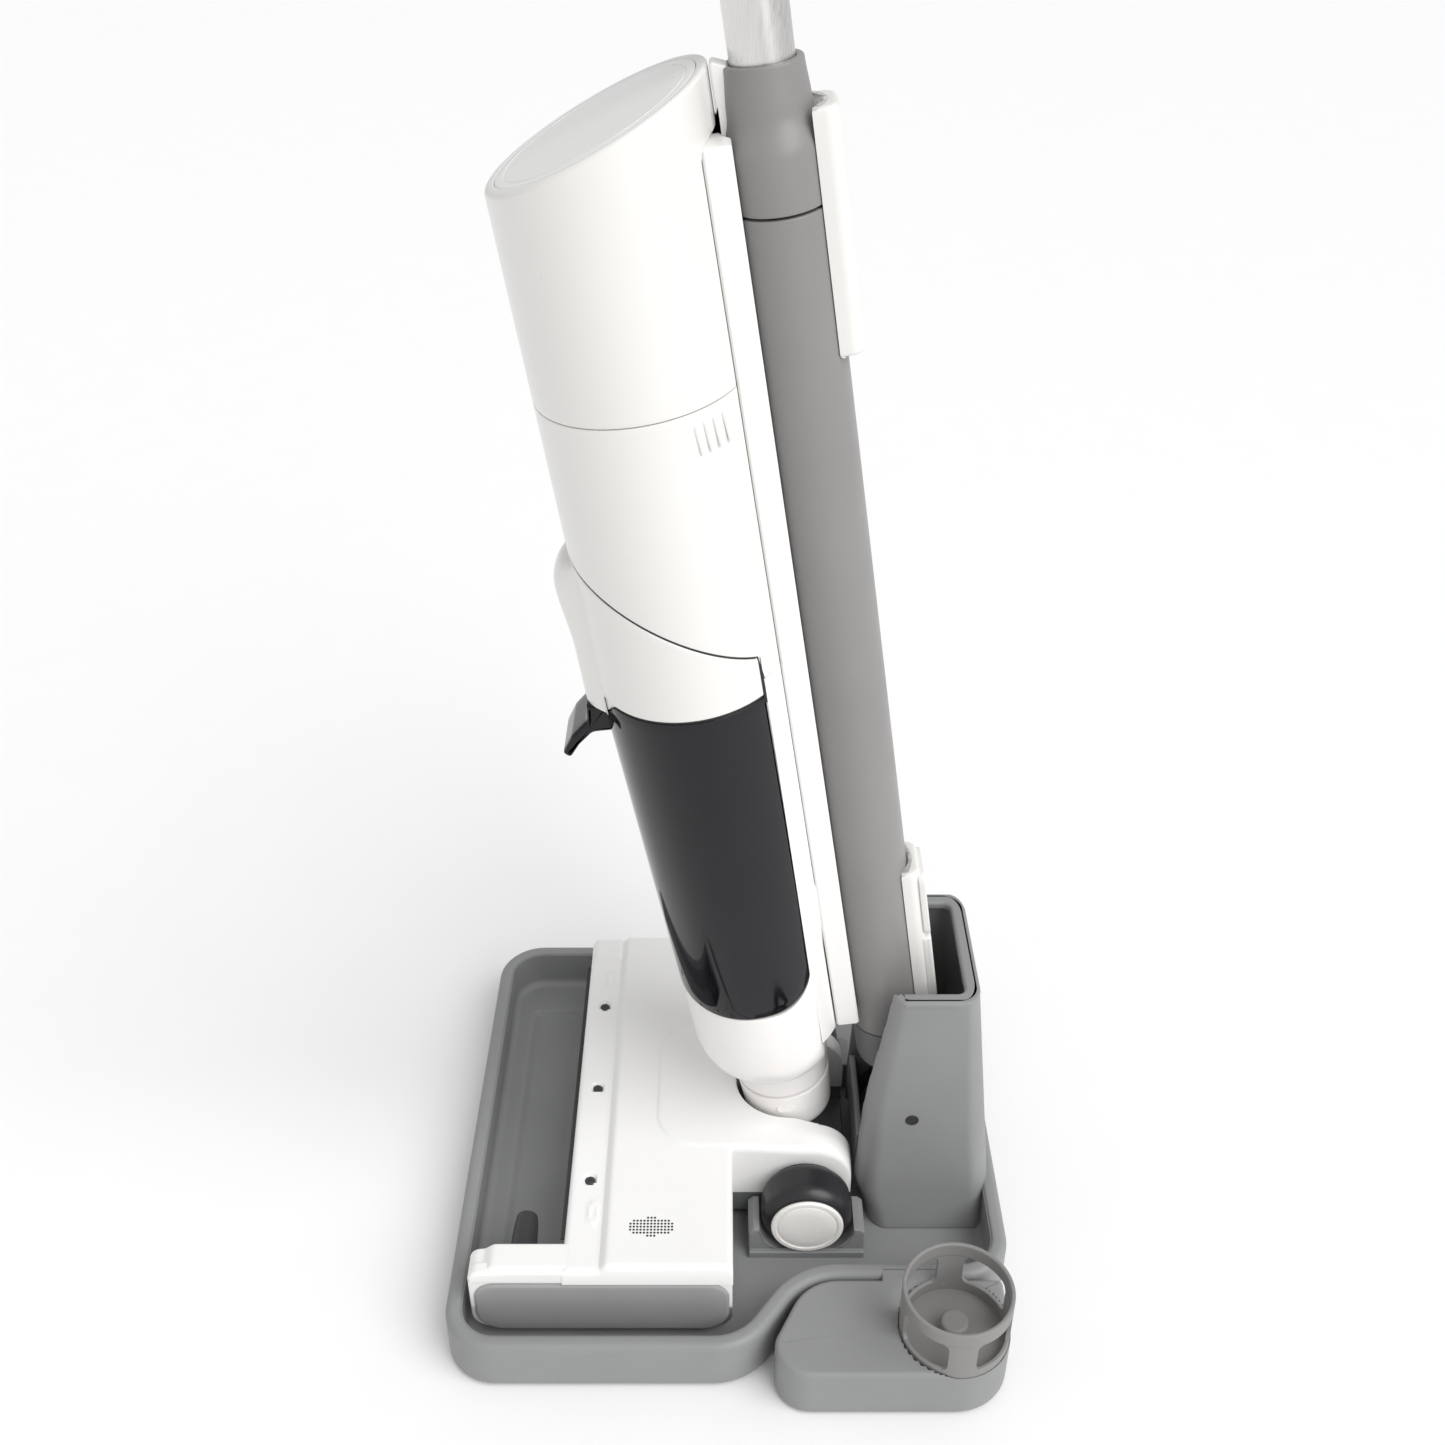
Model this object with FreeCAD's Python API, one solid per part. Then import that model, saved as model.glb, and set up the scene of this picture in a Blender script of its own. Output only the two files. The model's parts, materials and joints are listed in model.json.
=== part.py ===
import FreeCAD, Part
import math
import os

# Wet dry floor scrubber standing in its charging dock, in millimetres.
# +Z is up, -Y is the front (the roller end), +X is the machine's left side, and the floor is Z = 0.
# The body leans forward over the head, so its pieces are drawn upright in a body frame whose origin is
# the recline pivot, y to the rear and z up the body's axis, and lean() then puts them in place.

V = FreeCAD.Vector
os.makedirs("parts", exist_ok=True)

# Clearances
GAP = 0.4  # between pieces that move apart
RUN = 0.06  # radial, a turning shaft in its bore
SEAM = 0.5  # between neighbouring shells

# Dock
TRAY_HALF_W = 167.0
TRAY_FRONT = -159.0
TRAY_REAR = 170.0
TRAY_H = 36.0
TRAY_FLOOR = 7.0
TRAY_CORNER = 30.0
RIM = 9.0
FOOT_H = 2.0
FOOT_R = 8.0
NOTCH_X = 119.0
NOTCH_Y = 48.6
NOTCH_SHOULDER_Y = 14.6
NOTCH_BEND = 38.0
TROUGH_R = 60.0
TROUGH_DEPTH = 3.0
TOWER_TOP = 185.0
TOWER_HALF_BASE = 60.0
TOWER_HALF_TOP = 48.0
TOWER_FRONT_BASE = 90.0
TOWER_FRONT_TOP = 98.0
TOWER_REAR_BASE = 168.0
TOWER_REAR_TOP = 148.0
TOWER_WALL = 4.0
TOWER_LIP = 9.0
TOWER_LIP_H = 6.0
TOWER_CORNER = 14.0
TOWER_SILL = 60.0
TOWER_SCREW_Y = 113.0
TOWER_SCREW_Z = 96.0
SCREW_HEAD_R = 3.2
SCREW_SHANK_R = 1.6
BLOCK_HALF_W = 21.0
BLOCK_DEPTH = 32.0
CRADLE_H = 22.0
INLET_R = 6.0
INLET_BORE_R = 2.75
INLET_BORE_L = 10.0
INLET_Z = 30.0

# Accessory holder
HOLDER_OUT_X = 184.0
HOLDER_Y0 = 28.6
HOLDER_Y1 = 163.0
HOLDER_FOOT_R = 5.0
HOLDER_CORNER = 32.0
HOLDER_WALL = 3.0
HOLDER_TAB_Y0 = 93.0
HOLDER_TAB_Y1 = 129.0
HOLDER_TAB_T = 3.6
RING_R = 31.2
RING_WALL = 2.5
RING_TOP = 70.0
RING_RECESS = 8.0
RING_X = HOLDER_OUT_X - HOLDER_CORNER + 0.4
RING_Y = HOLDER_Y1 - HOLDER_CORNER
RING_BAND = 10.0
RING_POST = 16.0
PEG_R = 8.0
PEG_H = 11.0

# Floor head
HEAD_HALF_W = 139.0
HEAD_FRONT = -91.0
HEAD_REAR = 6.0
HEAD_TOP = 70.0
HEAD_BASE = 12.0
HEAD_SPLIT = 30.0
HEAD_WALL = 3.0
STRIP_REAR = -67.0
STRIP_DROP = 4.0
PLATE_T = 3.0
PLATE_Z0 = 13.4
PLATE_Z1 = 53.8
ARM_W = 17.0
ARM_FRONT = -145.0
ARM_TOP = 66.0
TAIL_HALF_W = 53.0
TAIL_FRONT = -43.0
TAIL_REAR = 79.0
SLOT_HALF_W = 34.5
DRUM_R = 23.3
SLOT_LEAD = 4.8
ROLLER_Y = -117.0
ROLLER_Z = 42.0
CHAMBER_R = 35.0
HUB_R = 8.5
HUB_INNER_X = 80.0
HUB_SHAFT_R = 4.0
MOTOR_R = 14.0
MOTOR_L = 58.0
MOTOR_Y = -45.0
MOTOR_Z = 45.0
DUCT_R = 14.0

# Rear wheels
WHEEL_R = 27.2
WHEEL_W = 30.0
WHEEL_Y = 51.0
WHEEL_Z = TRAY_FLOOR + GAP + WHEEL_R
TYRE_T = 5.0
CAP_R = 20.0
CAP_T = 2.0
AXLE_R = 4.0

# Leaning body: the recline pivot, and sizes in the body frame
LEAN_DEG = 8.7
PIVOT_Y = 52.0
PIVOT_Z = 46.0
PIN_R = 5.0
NECK_Y = -8.0
NECK_Z0 = 12.0
NECK_Z1 = 41.0
NECK_R0 = 29.0
NECK_R1 = 33.5
NECK_WALL = 3.5
SPIGOT_R = 26.0
SPIGOT_H = 8.0
HOSE_R = 13.0
BODY_Y = -14.0
BODY_HALF_D = 52.0
BODY_HALF_W = 61.0
BODY_WALL = 3.0
BACK_Y = 30.7
BOWL_RIM_Z = 152.0
TANK_FLOOR_Z = 139.5
BOWL_WAIST_Z = 84.0
TANK_HEEL_R = 22.0
TANK_BACK_Y = 21.0
TANK_WALL = 2.0
TANK_LID_Z = 345.0
LID_FRONT_Z = 424.0
LID_REAR_Z = 368.0
LID_GRIP_HALF_W = 20.0
LID_GRIP_PROUD = 10.0
LID_GRIP_Z = 336.0
SPOUT_HALF_W = 18.0
SPOUT_REACH = 25.5
SPOUT_Z = 318.0
BAY_TOP_Z = 354.0
FAN_R = 36.0
FAN_H = 24.0
MOTOR_CAN_R = 27.0
FILTER_R = 34.0
FILTER_H = 9.0
CELL_R = 9.2
CELL_L = 65.0
CELL_PITCH = 22.0
BOARD_T = 1.6
PUMP_R = 7.0
PUMP_HALF_L = 24.0
PUMP_Z = 83.0
SOCKET_R = 3.0
VENT_COUNT = 4
VENT_PITCH = 4.2
VENT_W = 1.6
VENT_H = 16.0
CAN_SEAM_Z = 502.5
CAN_FRONT_Z = 600.0
CAN_REAR_Z = 636.0
PANEL_INSET = 5.0
PANEL_T = 2.5
SPINE_HALF_W = 30.0
SPINE_REAR_Y = 44.0
SPINE_Z0 = 100.0
SPINE_Z1 = 607.0
COLUMN_Y = 61.0
COLUMN_HALF_D = 22.0
COLUMN_HALF_W = 25.0
COLUMN_Z0 = 101.0
COLUMN_Z1 = 571.5
COLUMN_WALL = 2.5
COLUMN_FOOT_Z = 50.0
REAR_PLATE_HALF_W = 16.0
LATCH_Z0 = 503.0
LATCH_Z1 = 613.0
LATCH_T = 7.6
TANK_GRIP_T = 9.0
TANK_GRIP_Z0 = 103.0
TANK_GRIP_Z1 = 196.0
RECESS_Z0 = 150.0
RECESS_FRAME = 4.0
RECESS_DEPTH = 3.0
RIB_COUNT = 4
RIB_PITCH = 8.5
RIB_H = 2.5
COLLAR_Z1 = 633.0
COLLAR_R = 17.8
COLLAR_SHOULDER_Z = 598.0
COLLAR_NECK_Z = 612.0
POLE_R = 14.2
POLE_WALL = 1.2
POLE_TOP = 882.0
SLEEVE_R = 19.0
SLEEVE_Z0 = 868.0
SLEEVE_Z1 = 936.0
GRIP_R = 12.0
GRIP_BEND_R = 29.0
GRIP_HALF_L = 24.0
GRIP_TILT_DEG = 18.0
BUTTON_R = 7.0
BUTTON_L = 7.0
BUTTON_PROUD = 1.5
BUTTON_TRAVEL = 1.5


def box(x0, x1, y0, y1, z0, z1):
    return Part.makeBox(x1 - x0, y1 - y0, z1 - z0, V(x0, y0, z0))


def rod(x, y, z, radius, length, axis):
    return Part.makeCylinder(radius, length, V(x, y, z), axis)


def rod_x(x0, x1, y, z, radius):
    return rod(x0, y, z, radius, x1 - x0, V(1, 0, 0))


def rod_y(y0, y1, x, z, radius):
    return rod(x, y0, z, radius, y1 - y0, V(0, 1, 0))


def rod_z(z0, z1, x, y, radius):
    return rod(x, y, z0, radius, z1 - z0, V(0, 0, 1))


def joined(*shapes):
    whole = shapes[0]
    for shape in shapes[1:]:
        whole = whole.fuse(shape)
    return whole.removeSplitter()


def minus(shape, *tools):
    for tool in tools:
        shape = shape.cut(tool)
    return shape


def outline(corners):
    """Closed wire in the XY plane through corners (x, y, radius), each rounded by an arc."""
    count = len(corners)
    starts, ends, middles = [], [], []
    for i, (x, y, radius) in enumerate(corners):
        here = V(x, y, 0)
        back = V(*corners[i - 1][:2], 0) - here
        ahead = V(*corners[(i + 1) % count][:2], 0) - here
        back.normalize()
        ahead.normalize()
        half = back.getAngle(ahead) / 2
        run = radius / math.tan(half)
        inward = back + ahead
        inward.normalize()
        centre = here + inward * (radius / math.sin(half))
        starts.append(here + back * run)
        ends.append(here + ahead * run)
        middles.append(centre - inward * radius)
    edges = []
    for i in range(count):
        if corners[i][2] > 0:
            edges.append(Part.Arc(starts[i], middles[i], ends[i]).toShape())
        edges.append(Part.makeLine(ends[i], starts[(i + 1) % count]))
    return Part.Wire(edges)


def plate_z(corners, z0, z1):
    """Prism of a rounded outline (x, y, radius) standing from z0 to z1."""
    face = Part.Face(outline(corners))
    face.translate(V(0, 0, z0))
    return face.extrude(V(0, 0, z1 - z0))


def plate_x(corners, x0, x1):
    """Prism of a rounded side profile (y, z, radius) running from x0 to x1."""
    prism = Part.Face(outline(corners)).extrude(V(0, 0, x1 - x0))
    prism.rotate(V(0, 0, 0), V(1, 1, 1), 120)
    prism.translate(V(x0, 0, 0))
    return prism


def rounded_box(x0, x1, y0, y1, z0, z1, radius):
    corners = [(x0, y0, radius), (x1, y0, radius), (x1, y1, radius), (x0, y1, radius)]
    return plate_z(corners, z0, z1)


def oval_wire(half_w, half_d, y, z):
    """Ellipse half_w across X and half_d across Y, centred on the mid-plane."""
    if half_w >= half_d:
        ellipse = Part.Ellipse(V(0, y, z), half_w, half_d)
        return Part.Wire([ellipse.toShape()])
    ellipse = Part.Ellipse(V(0, y + half_d, z), V(half_w, y, z), V(0, y, z))
    return Part.Wire([ellipse.toShape()])


def oval(half_w, half_d, y, z0, z1):
    return Part.Face(oval_wire(half_w, half_d, y, z0)).extrude(V(0, 0, z1 - z0))


def lean(shape):
    """Puts a piece drawn in the body frame in its place on the machine."""
    placed = shape.copy()
    placed.rotate(V(0, 0, 0), V(1, 0, 0), LEAN_DEG)
    placed.translate(V(0, PIVOT_Y, PIVOT_Z))
    return placed


def both_sides(shape):
    """The shape and its mirror image across the machine's mid-plane."""
    return Part.makeCompound([shape, shape.mirror(V(0, 0, 0), V(1, 0, 0))])


def save(name, shape):
    shape.exportStep("parts/" + name + ".step")


# ---------------------------------------------------------------- dock


def tray_corners():
    """Tray outline with the bay that the accessory holder stands in cut out of its rear left corner."""
    return [
        (-TRAY_HALF_W, TRAY_FRONT, TRAY_CORNER),
        (TRAY_HALF_W, TRAY_FRONT, TRAY_CORNER),
        (TRAY_HALF_W, NOTCH_SHOULDER_Y, NOTCH_BEND),
        (NOTCH_X, NOTCH_Y, NOTCH_BEND),
        (NOTCH_X, TRAY_REAR, TRAY_CORNER),
        (-TRAY_HALF_W, TRAY_REAR, TRAY_CORNER),
    ]


def tray_region(offset, z0, z1):
    """Prism of the tray's outline, grown by offset."""
    face = Part.Face(outline(tray_corners()))
    if offset:
        face = face.makeOffset2D(offset)
    face.translate(V(0, 0, z0))
    return face.extrude(V(0, 0, z1 - z0))


def holder_tab(clearance):
    """The hook plate that lies in the tray's rim."""
    return box(
        NOTCH_X - RIM + 1.5 - clearance,
        NOTCH_X + HOLDER_WALL + 2.0,
        HOLDER_TAB_Y0 - clearance,
        HOLDER_TAB_Y1 + clearance,
        TRAY_H - HOLDER_TAB_T - clearance,
        TRAY_H + clearance,
    )


def foot_places():
    inset = TRAY_CORNER * 0.9
    left = NOTCH_X - inset
    return [
        (0.0, 0.0),
        (-TRAY_HALF_W + inset, TRAY_FRONT + inset),
        (TRAY_HALF_W - inset, TRAY_FRONT + inset),
        (-TRAY_HALF_W + inset, TRAY_REAR - inset),
        (left, TRAY_REAR - inset),
    ]


def dock_feet():
    pads = []
    for x, y in foot_places():
        pads.append(rod_z(0, FOOT_H, x, y, FOOT_R))
    return Part.makeCompound(pads)


def dock_tray():
    tray = tray_region(0, FOOT_H, TRAY_H)
    tray = tray.cut(tray_region(-RIM, TRAY_FLOOR, TRAY_H + 1))
    scoop_z = TRAY_FLOOR - TROUGH_DEPTH + TROUGH_R
    reach = TRAY_HALF_W - RIM - TRAY_CORNER
    scoop = rod_x(-reach, reach, ROLLER_Y, scoop_z, TROUGH_R)
    tower_bay = box(
        -TOWER_HALF_BASE, TOWER_HALF_BASE, TOWER_REAR_TOP, TRAY_REAR + 1, TRAY_FLOOR, TRAY_H + 1
    )
    return minus(tray, scoop, holder_tab(GAP), tower_bay)


def tower_section(inset, z):
    """Wire of the tower's outline at height z, drawn in by inset."""
    share = (z - TRAY_FLOOR) / (TOWER_TOP - TRAY_FLOOR)
    half = TOWER_HALF_BASE + (TOWER_HALF_TOP - TOWER_HALF_BASE) * share - inset
    front = TOWER_FRONT_BASE + (TOWER_FRONT_TOP - TOWER_FRONT_BASE) * share + inset
    rear = TOWER_REAR_BASE + (TOWER_REAR_TOP - TOWER_REAR_BASE) * share - inset
    radius = max(TOWER_CORNER - inset, 4.0)
    wire = outline([(-half, front, radius), (half, front, radius), (half, rear, radius), (-half, rear, radius)])
    wire.translate(V(0, 0, z))
    return wire


def tower_loft(inset, z0, z1):
    return Part.makeLoft([tower_section(inset, z0), tower_section(inset, z1)], True, True)


def tower_half_at(z):
    share = (z - TRAY_FLOOR) / (TOWER_TOP - TRAY_FLOOR)
    return TOWER_HALF_BASE + (TOWER_HALF_TOP - TOWER_HALF_BASE) * share


def tower_rear_at(z):
    share = (z - TRAY_FLOOR) / (TOWER_TOP - TRAY_FLOOR)
    return TOWER_REAR_BASE + (TOWER_REAR_TOP - TOWER_REAR_BASE) * share


def inlet_hole(radius):
    rear = tower_rear_at(INLET_Z)
    return rod_y(rear - INLET_BORE_L - 6.0, rear + 1.5, 0, INLET_Z, radius)


def dock_tower():
    """Open-fronted shell that stands on the tray and wraps the foot of the column."""
    shell = tower_loft(0, TRAY_FLOOR, TOWER_TOP)
    shell = shell.cut(tower_loft(TOWER_WALL, TRAY_FLOOR, TOWER_TOP - TOWER_LIP_H))
    shell = shell.cut(tower_loft(TOWER_LIP, TOWER_TOP - TOWER_LIP_H, TOWER_TOP))
    mouth = TOWER_HALF_TOP - TOWER_LIP
    doorway = box(-mouth, mouth, TOWER_FRONT_BASE - 5, TOWER_FRONT_TOP + 20, TOWER_SILL, TOWER_TOP + 1)
    side = tower_half_at(TOWER_SCREW_Z)
    screw_holes = rod_x(-side - 5, side + 5, TOWER_SCREW_Y, TOWER_SCREW_Z, SCREW_HEAD_R + 0.2)
    return minus(shell, doorway, screw_holes, inlet_hole(INLET_R))


def tower_screw(clearance):
    """One screw with its axis along X, from the tower's side wall into the contact block."""
    side = tower_half_at(TOWER_SCREW_Z)
    head = rod_x(side - TOWER_WALL, side - 1.5, TOWER_SCREW_Y, TOWER_SCREW_Z, SCREW_HEAD_R + clearance)
    shank = rod_x(
        BLOCK_HALF_W - 8.0, side - TOWER_WALL, TOWER_SCREW_Y, TOWER_SCREW_Z, SCREW_SHANK_R + clearance
    )
    return joined(head, shank)


def wheel_cradle():
    """The two chocks, ahead of and behind the left wheel, cut to its circle."""
    x0 = TAIL_HALF_W + 2.0
    x1 = TAIL_HALF_W + WHEEL_W
    length = WHEEL_R + 8.0
    block = box(x0, x1, WHEEL_Y - length, WHEEL_Y + length, TRAY_FLOOR, TRAY_FLOOR + CRADLE_H)
    return block.cut(rod_x(x0 - 1, x1 + 1, WHEEL_Y, WHEEL_Z, WHEEL_R + 2.0))


def below_plane(z):
    """Everything below height z of the body frame, near the tower."""
    return lean(box(-80, 80, -40, 160, z - 300, z))


def pin_places():
    return [(-9.0, COLUMN_Y - 2.0), (9.0, COLUMN_Y - 2.0)]


def charge_pins():
    pins = []
    for x, y in pin_places():
        pins.append(lean(rod_z(COLUMN_FOOT_Z - 8.0, COLUMN_FOOT_Z - GAP, x, y, 2.0)))
    return Part.makeCompound(pins)


def charge_block():
    """Post inside the tower whose raked top carries the charging contacts."""
    front = TOWER_FRONT_TOP + 0.5
    post = box(-BLOCK_HALF_W, BLOCK_HALF_W, front, front + BLOCK_DEPTH, TRAY_FLOOR, TOWER_TOP)
    post = post.common(below_plane(COLUMN_FOOT_Z - 1.6))
    screws = [tower_screw(0), tower_screw(0).mirror(V(0, 0, 0), V(1, 0, 0))]
    return minus(post, charge_pins(), *screws)


def power_inlet():
    rear = tower_rear_at(INLET_Z)
    bore = rod_y(rear + 1.5 - INLET_BORE_L, rear + 2.0, 0, INLET_Z, INLET_BORE_R)
    return inlet_hole(INLET_R).cut(bore)


def make_dock():
    save("dock_tray", dock_tray())
    save("dock_feet", dock_feet())
    save("dock_tower", dock_tower())
    save("tower_screws", both_sides(tower_screw(0)))
    save("wheel_cradles", both_sides(wheel_cradle()))
    save("charge_block", charge_block())
    save("charge_pins", charge_pins())
    save("power_inlet", power_inlet())


# ---------------------------------------------------------------- accessory holder


def holder_region(inset, z0, z1):
    corners = [
        (NOTCH_X + 1.5 + inset, HOLDER_Y0 + inset, 2.0),
        (HOLDER_OUT_X - inset, HOLDER_Y0 + inset, HOLDER_CORNER - inset),
        (HOLDER_OUT_X - inset, HOLDER_Y1 - inset, HOLDER_CORNER - inset),
        (NOTCH_X + 1.5 + inset, HOLDER_Y1 - inset, 2.0),
    ]
    return plate_z(corners, z0, z1).cut(tray_region(1.5 + inset, z0 - 1, z1 + 1))


def holder_base():
    """Hollow block, open underneath, with a round seat for the drying ring."""
    shell = holder_region(0, FOOT_H, TRAY_H)
    hollow = holder_region(HOLDER_WALL, FOOT_H - 1, TRAY_H - HOLDER_WALL)
    seat_z = TRAY_H - RING_RECESS
    seat_wall = rod_z(seat_z - HOLDER_WALL, TRAY_H, RING_X, RING_Y, RING_R + HOLDER_WALL)
    hollow = hollow.cut(seat_wall)
    seat = rod_z(seat_z, TRAY_H + 1, RING_X, RING_Y, RING_R)
    shell = joined(minus(shell, hollow), holder_tab(0)).cut(seat)
    return minus(shell, *holder_posts())


def holder_foot_places():
    inner = NOTCH_X + 12.0
    outer = HOLDER_OUT_X - 12.0
    return [
        (outer, HOLDER_Y0 + 26.0),
        (outer, HOLDER_Y1 - 26.0),
        (inner, HOLDER_Y1 - 12.0),
        (inner + 14.0, HOLDER_Y0 + 30.0),
    ]


def holder_posts():
    return [rod_z(0, FOOT_H + 1.0, x, y, HOLDER_FOOT_R) for x, y in holder_foot_places()]


def holder_feet():
    """Rubber pads on posts that reach up to the underside of the holder's top."""
    return Part.makeCompound(holder_posts())


def ring_basket():
    """Open ring with four windows and a centre peg, where the wet roller stands to dry."""
    z0 = TRAY_H - RING_RECESS
    ring = rod_z(z0, RING_TOP, RING_X, RING_Y, RING_R).cut(
        rod_z(z0 + RING_WALL, RING_TOP + 1, RING_X, RING_Y, RING_R - RING_WALL)
    )
    windows = rod_z(TRAY_H + 2.0, RING_TOP - RING_BAND, RING_X, RING_Y, RING_R + 5)
    reach = RING_R + 6
    half = RING_POST / 2
    z1 = RING_TOP - RING_BAND
    bars = joined(
        box(RING_X - reach, RING_X + reach, RING_Y - half, RING_Y + half, TRAY_H, z1 + 1),
        box(RING_X - half, RING_X + half, RING_Y - reach, RING_Y + reach, TRAY_H, z1 + 1),
    )
    ring = ring.cut(windows.cut(bars))
    peg = rod_z(z0 + RING_WALL, z0 + RING_WALL + PEG_H, RING_X, RING_Y, PEG_R)
    return joined(ring, peg)


def make_holder():
    save("holder_base", holder_base())
    save("holder_feet", holder_feet())
    save("ring_basket", ring_basket())


# ---------------------------------------------------------------- floor head


def chamber(radius, x0, x1):
    """The round space that the brush roller turns in."""
    return rod_x(x0, x1, ROLLER_Y, ROLLER_Z, radius)


def neck_wire(grow):
    """Half profile of the neck cup, turned about the body's axis to make it, grown outwards."""
    low = NECK_Z0 if not grow else -6.0
    points = [
        V(0, NECK_Y, low),
        V(NECK_R0 + grow, NECK_Y, low),
        V(NECK_R0 + grow, NECK_Y, NECK_Z0),
        V(NECK_R1 + grow, NECK_Y, NECK_Z1),
        V(0, NECK_Y, NECK_Z1),
    ]
    if not grow:
        points.pop(1)
    return Part.makePolygon(points + [points[0]])


def neck_solid(grow):
    face = Part.Face(neck_wire(grow))
    return face.revolve(V(0, NECK_Y, 0), V(0, 0, 1), 360)


def neck_space():
    """What the head leaves free for the neck as it leans back."""
    socket = lean(neck_solid(0.8))
    drum = rod_x(-SLOT_HALF_W, SLOT_HALF_W, PIVOT_Y, PIVOT_Z, DRUM_R)
    slot = box(-SLOT_HALF_W, SLOT_HALF_W, PIVOT_Y - SLOT_LEAD, TAIL_REAR + 5, HEAD_BASE + 13.5, HEAD_TOP + 30)
    return joined(socket, drum, slot)


def tail_profile(top):
    """Side profile of the tail, rounded down over the wheels."""
    return [
        (TAIL_FRONT, HEAD_SPLIT, 0),
        (TAIL_REAR, HEAD_SPLIT, 0),
        (TAIL_REAR, top, 24.0),
        (TAIL_FRONT, top, 0),
    ]


def belt_space(clearance):
    """Envelope of the belt case between the motor and the roller's drive hub."""
    radius = 12.0 + clearance
    x0 = HEAD_HALF_W - PLATE_T - ARM_W + HEAD_WALL + 1.0 - clearance
    x1 = HEAD_HALF_W - PLATE_T - HEAD_WALL + clearance
    front = rod_x(x0, x1, ROLLER_Y, ROLLER_Z, radius)
    rear = rod_x(x0, x1, MOTOR_Y, MOTOR_Z, radius)
    angle = math.atan2(MOTOR_Z - ROLLER_Z, MOTOR_Y - ROLLER_Y)
    side_y = radius * math.sin(angle)
    side_z = radius * math.cos(angle)
    span = plate_x(
        [
            (ROLLER_Y + side_y, ROLLER_Z - side_z, 0),
            (MOTOR_Y + side_y, MOTOR_Z - side_z, 0),
            (MOTOR_Y - side_y, MOTOR_Z + side_z, 0),
            (ROLLER_Y - side_y, ROLLER_Z + side_z, 0),
        ],
        x0,
        x1,
    )
    return joined(front, rear, span)


def cover_screw_places():
    half = HEAD_HALF_W - PLATE_T - ARM_W
    y = (HEAD_FRONT + STRIP_REAR) / 2
    return [(-half * 0.62, y), (0.0, y), (half * 0.62, y)]


def cover_screw(x, y):
    top = HEAD_TOP - STRIP_DROP
    return joined(
        rod_z(top - 2.5, top - 1.0, x, y, SCREW_HEAD_R),
        rod_z(top - 7.0, top - 2.5, x, y, SCREW_SHANK_R),
    )


def cover_screws():
    return Part.makeCompound([cover_screw(x, y) for x, y in cover_screw_places()])


def screw_wells():
    """Recess and bore that each of the cover's screws sits in."""
    top = HEAD_TOP - STRIP_DROP
    wells = []
    for x, y in cover_screw_places():
        wells.append(rod_z(top - 2.5, top + 1, x, y, SCREW_HEAD_R))
        wells.append(rod_z(top - 8.0, top - 2.5, x, y, SCREW_SHANK_R))
    return wells


def head_cover():
    """White top shell of the head with the tail that carries the neck and the wheels."""
    side = HEAD_HALF_W - PLATE_T
    main = box(-side, side, HEAD_FRONT, HEAD_REAR, HEAD_SPLIT, HEAD_TOP)
    step = box(-side - 1, side + 1, HEAD_FRONT - 1, STRIP_REAR, HEAD_TOP - STRIP_DROP, HEAD_TOP + 1)
    inner = side - HEAD_WALL
    roof = HEAD_TOP - HEAD_WALL
    hollow = box(-inner, inner, HEAD_FRONT + HEAD_WALL, HEAD_REAR - HEAD_WALL, HEAD_SPLIT - 1, roof)
    hollow = hollow.cut(box(-inner, inner, HEAD_FRONT, STRIP_REAR + HEAD_WALL, roof - STRIP_DROP, roof + 1))
    tail = plate_x(tail_profile(HEAD_TOP), -TAIL_HALF_W, TAIL_HALF_W)
    socket_front = PIVOT_Y - 55.0
    tail_inner = TAIL_HALF_W - HEAD_WALL
    tail_hollow = box(-tail_inner, tail_inner, TAIL_FRONT, socket_front, HEAD_SPLIT - 1, roof)
    shell = joined(main.cut(step), tail)
    bosses = []
    for x, y in cover_screw_places():
        bosses.append(rod_z(roof - STRIP_DROP - 6.0, roof - STRIP_DROP, x, y, 4.5))
    shell = minus(shell, hollow, tail_hollow)
    shell = joined(shell, *bosses)
    front_wall = chamber(CHAMBER_R, -side - 1, side + 1)
    return minus(
        shell,
        front_wall,
        neck_space(),
        belt_space(GAP),
        *screw_wells(),
        pivot_pin_pair(),
        wheel_axle_pair(),
        lean(hose_sweep()),
        suction_duct_solid(),
    )


def hose_sweep():
    """Room for the hose stub below the neck cup."""
    return rod_z(-30.0, 0.0, 0, NECK_Y, HOSE_R + 3.0)


def head_chassis():
    """Lower tray of the head: floor, walls and the tail's underside."""
    side = HEAD_HALF_W - PLATE_T
    main = box(-side, side, HEAD_FRONT, HEAD_REAR, HEAD_BASE, HEAD_SPLIT)
    tail = box(-TAIL_HALF_W, TAIL_HALF_W, HEAD_REAR, TAIL_REAR, HEAD_BASE, HEAD_SPLIT)
    inner = side - HEAD_WALL
    floor = HEAD_BASE + HEAD_WALL
    hollow = box(-inner, inner, HEAD_FRONT, HEAD_REAR - HEAD_WALL, floor, HEAD_SPLIT + 1)
    shell = joined(main, tail).cut(hollow)
    shell = joined(shell, box(-inner, inner, HEAD_FRONT, HEAD_FRONT + 25, HEAD_BASE, HEAD_SPLIT))
    blade = box(-inner + 14, inner - 14, HEAD_REAR - 7, HEAD_REAR - 2, HEAD_BASE - 1, HEAD_BASE + 1.5)
    return minus(
        shell, chamber(CHAMBER_R, -side - 1, side + 1), neck_space(), wheel_axle_pair(), blade, suction_duct_solid()
    )


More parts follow.
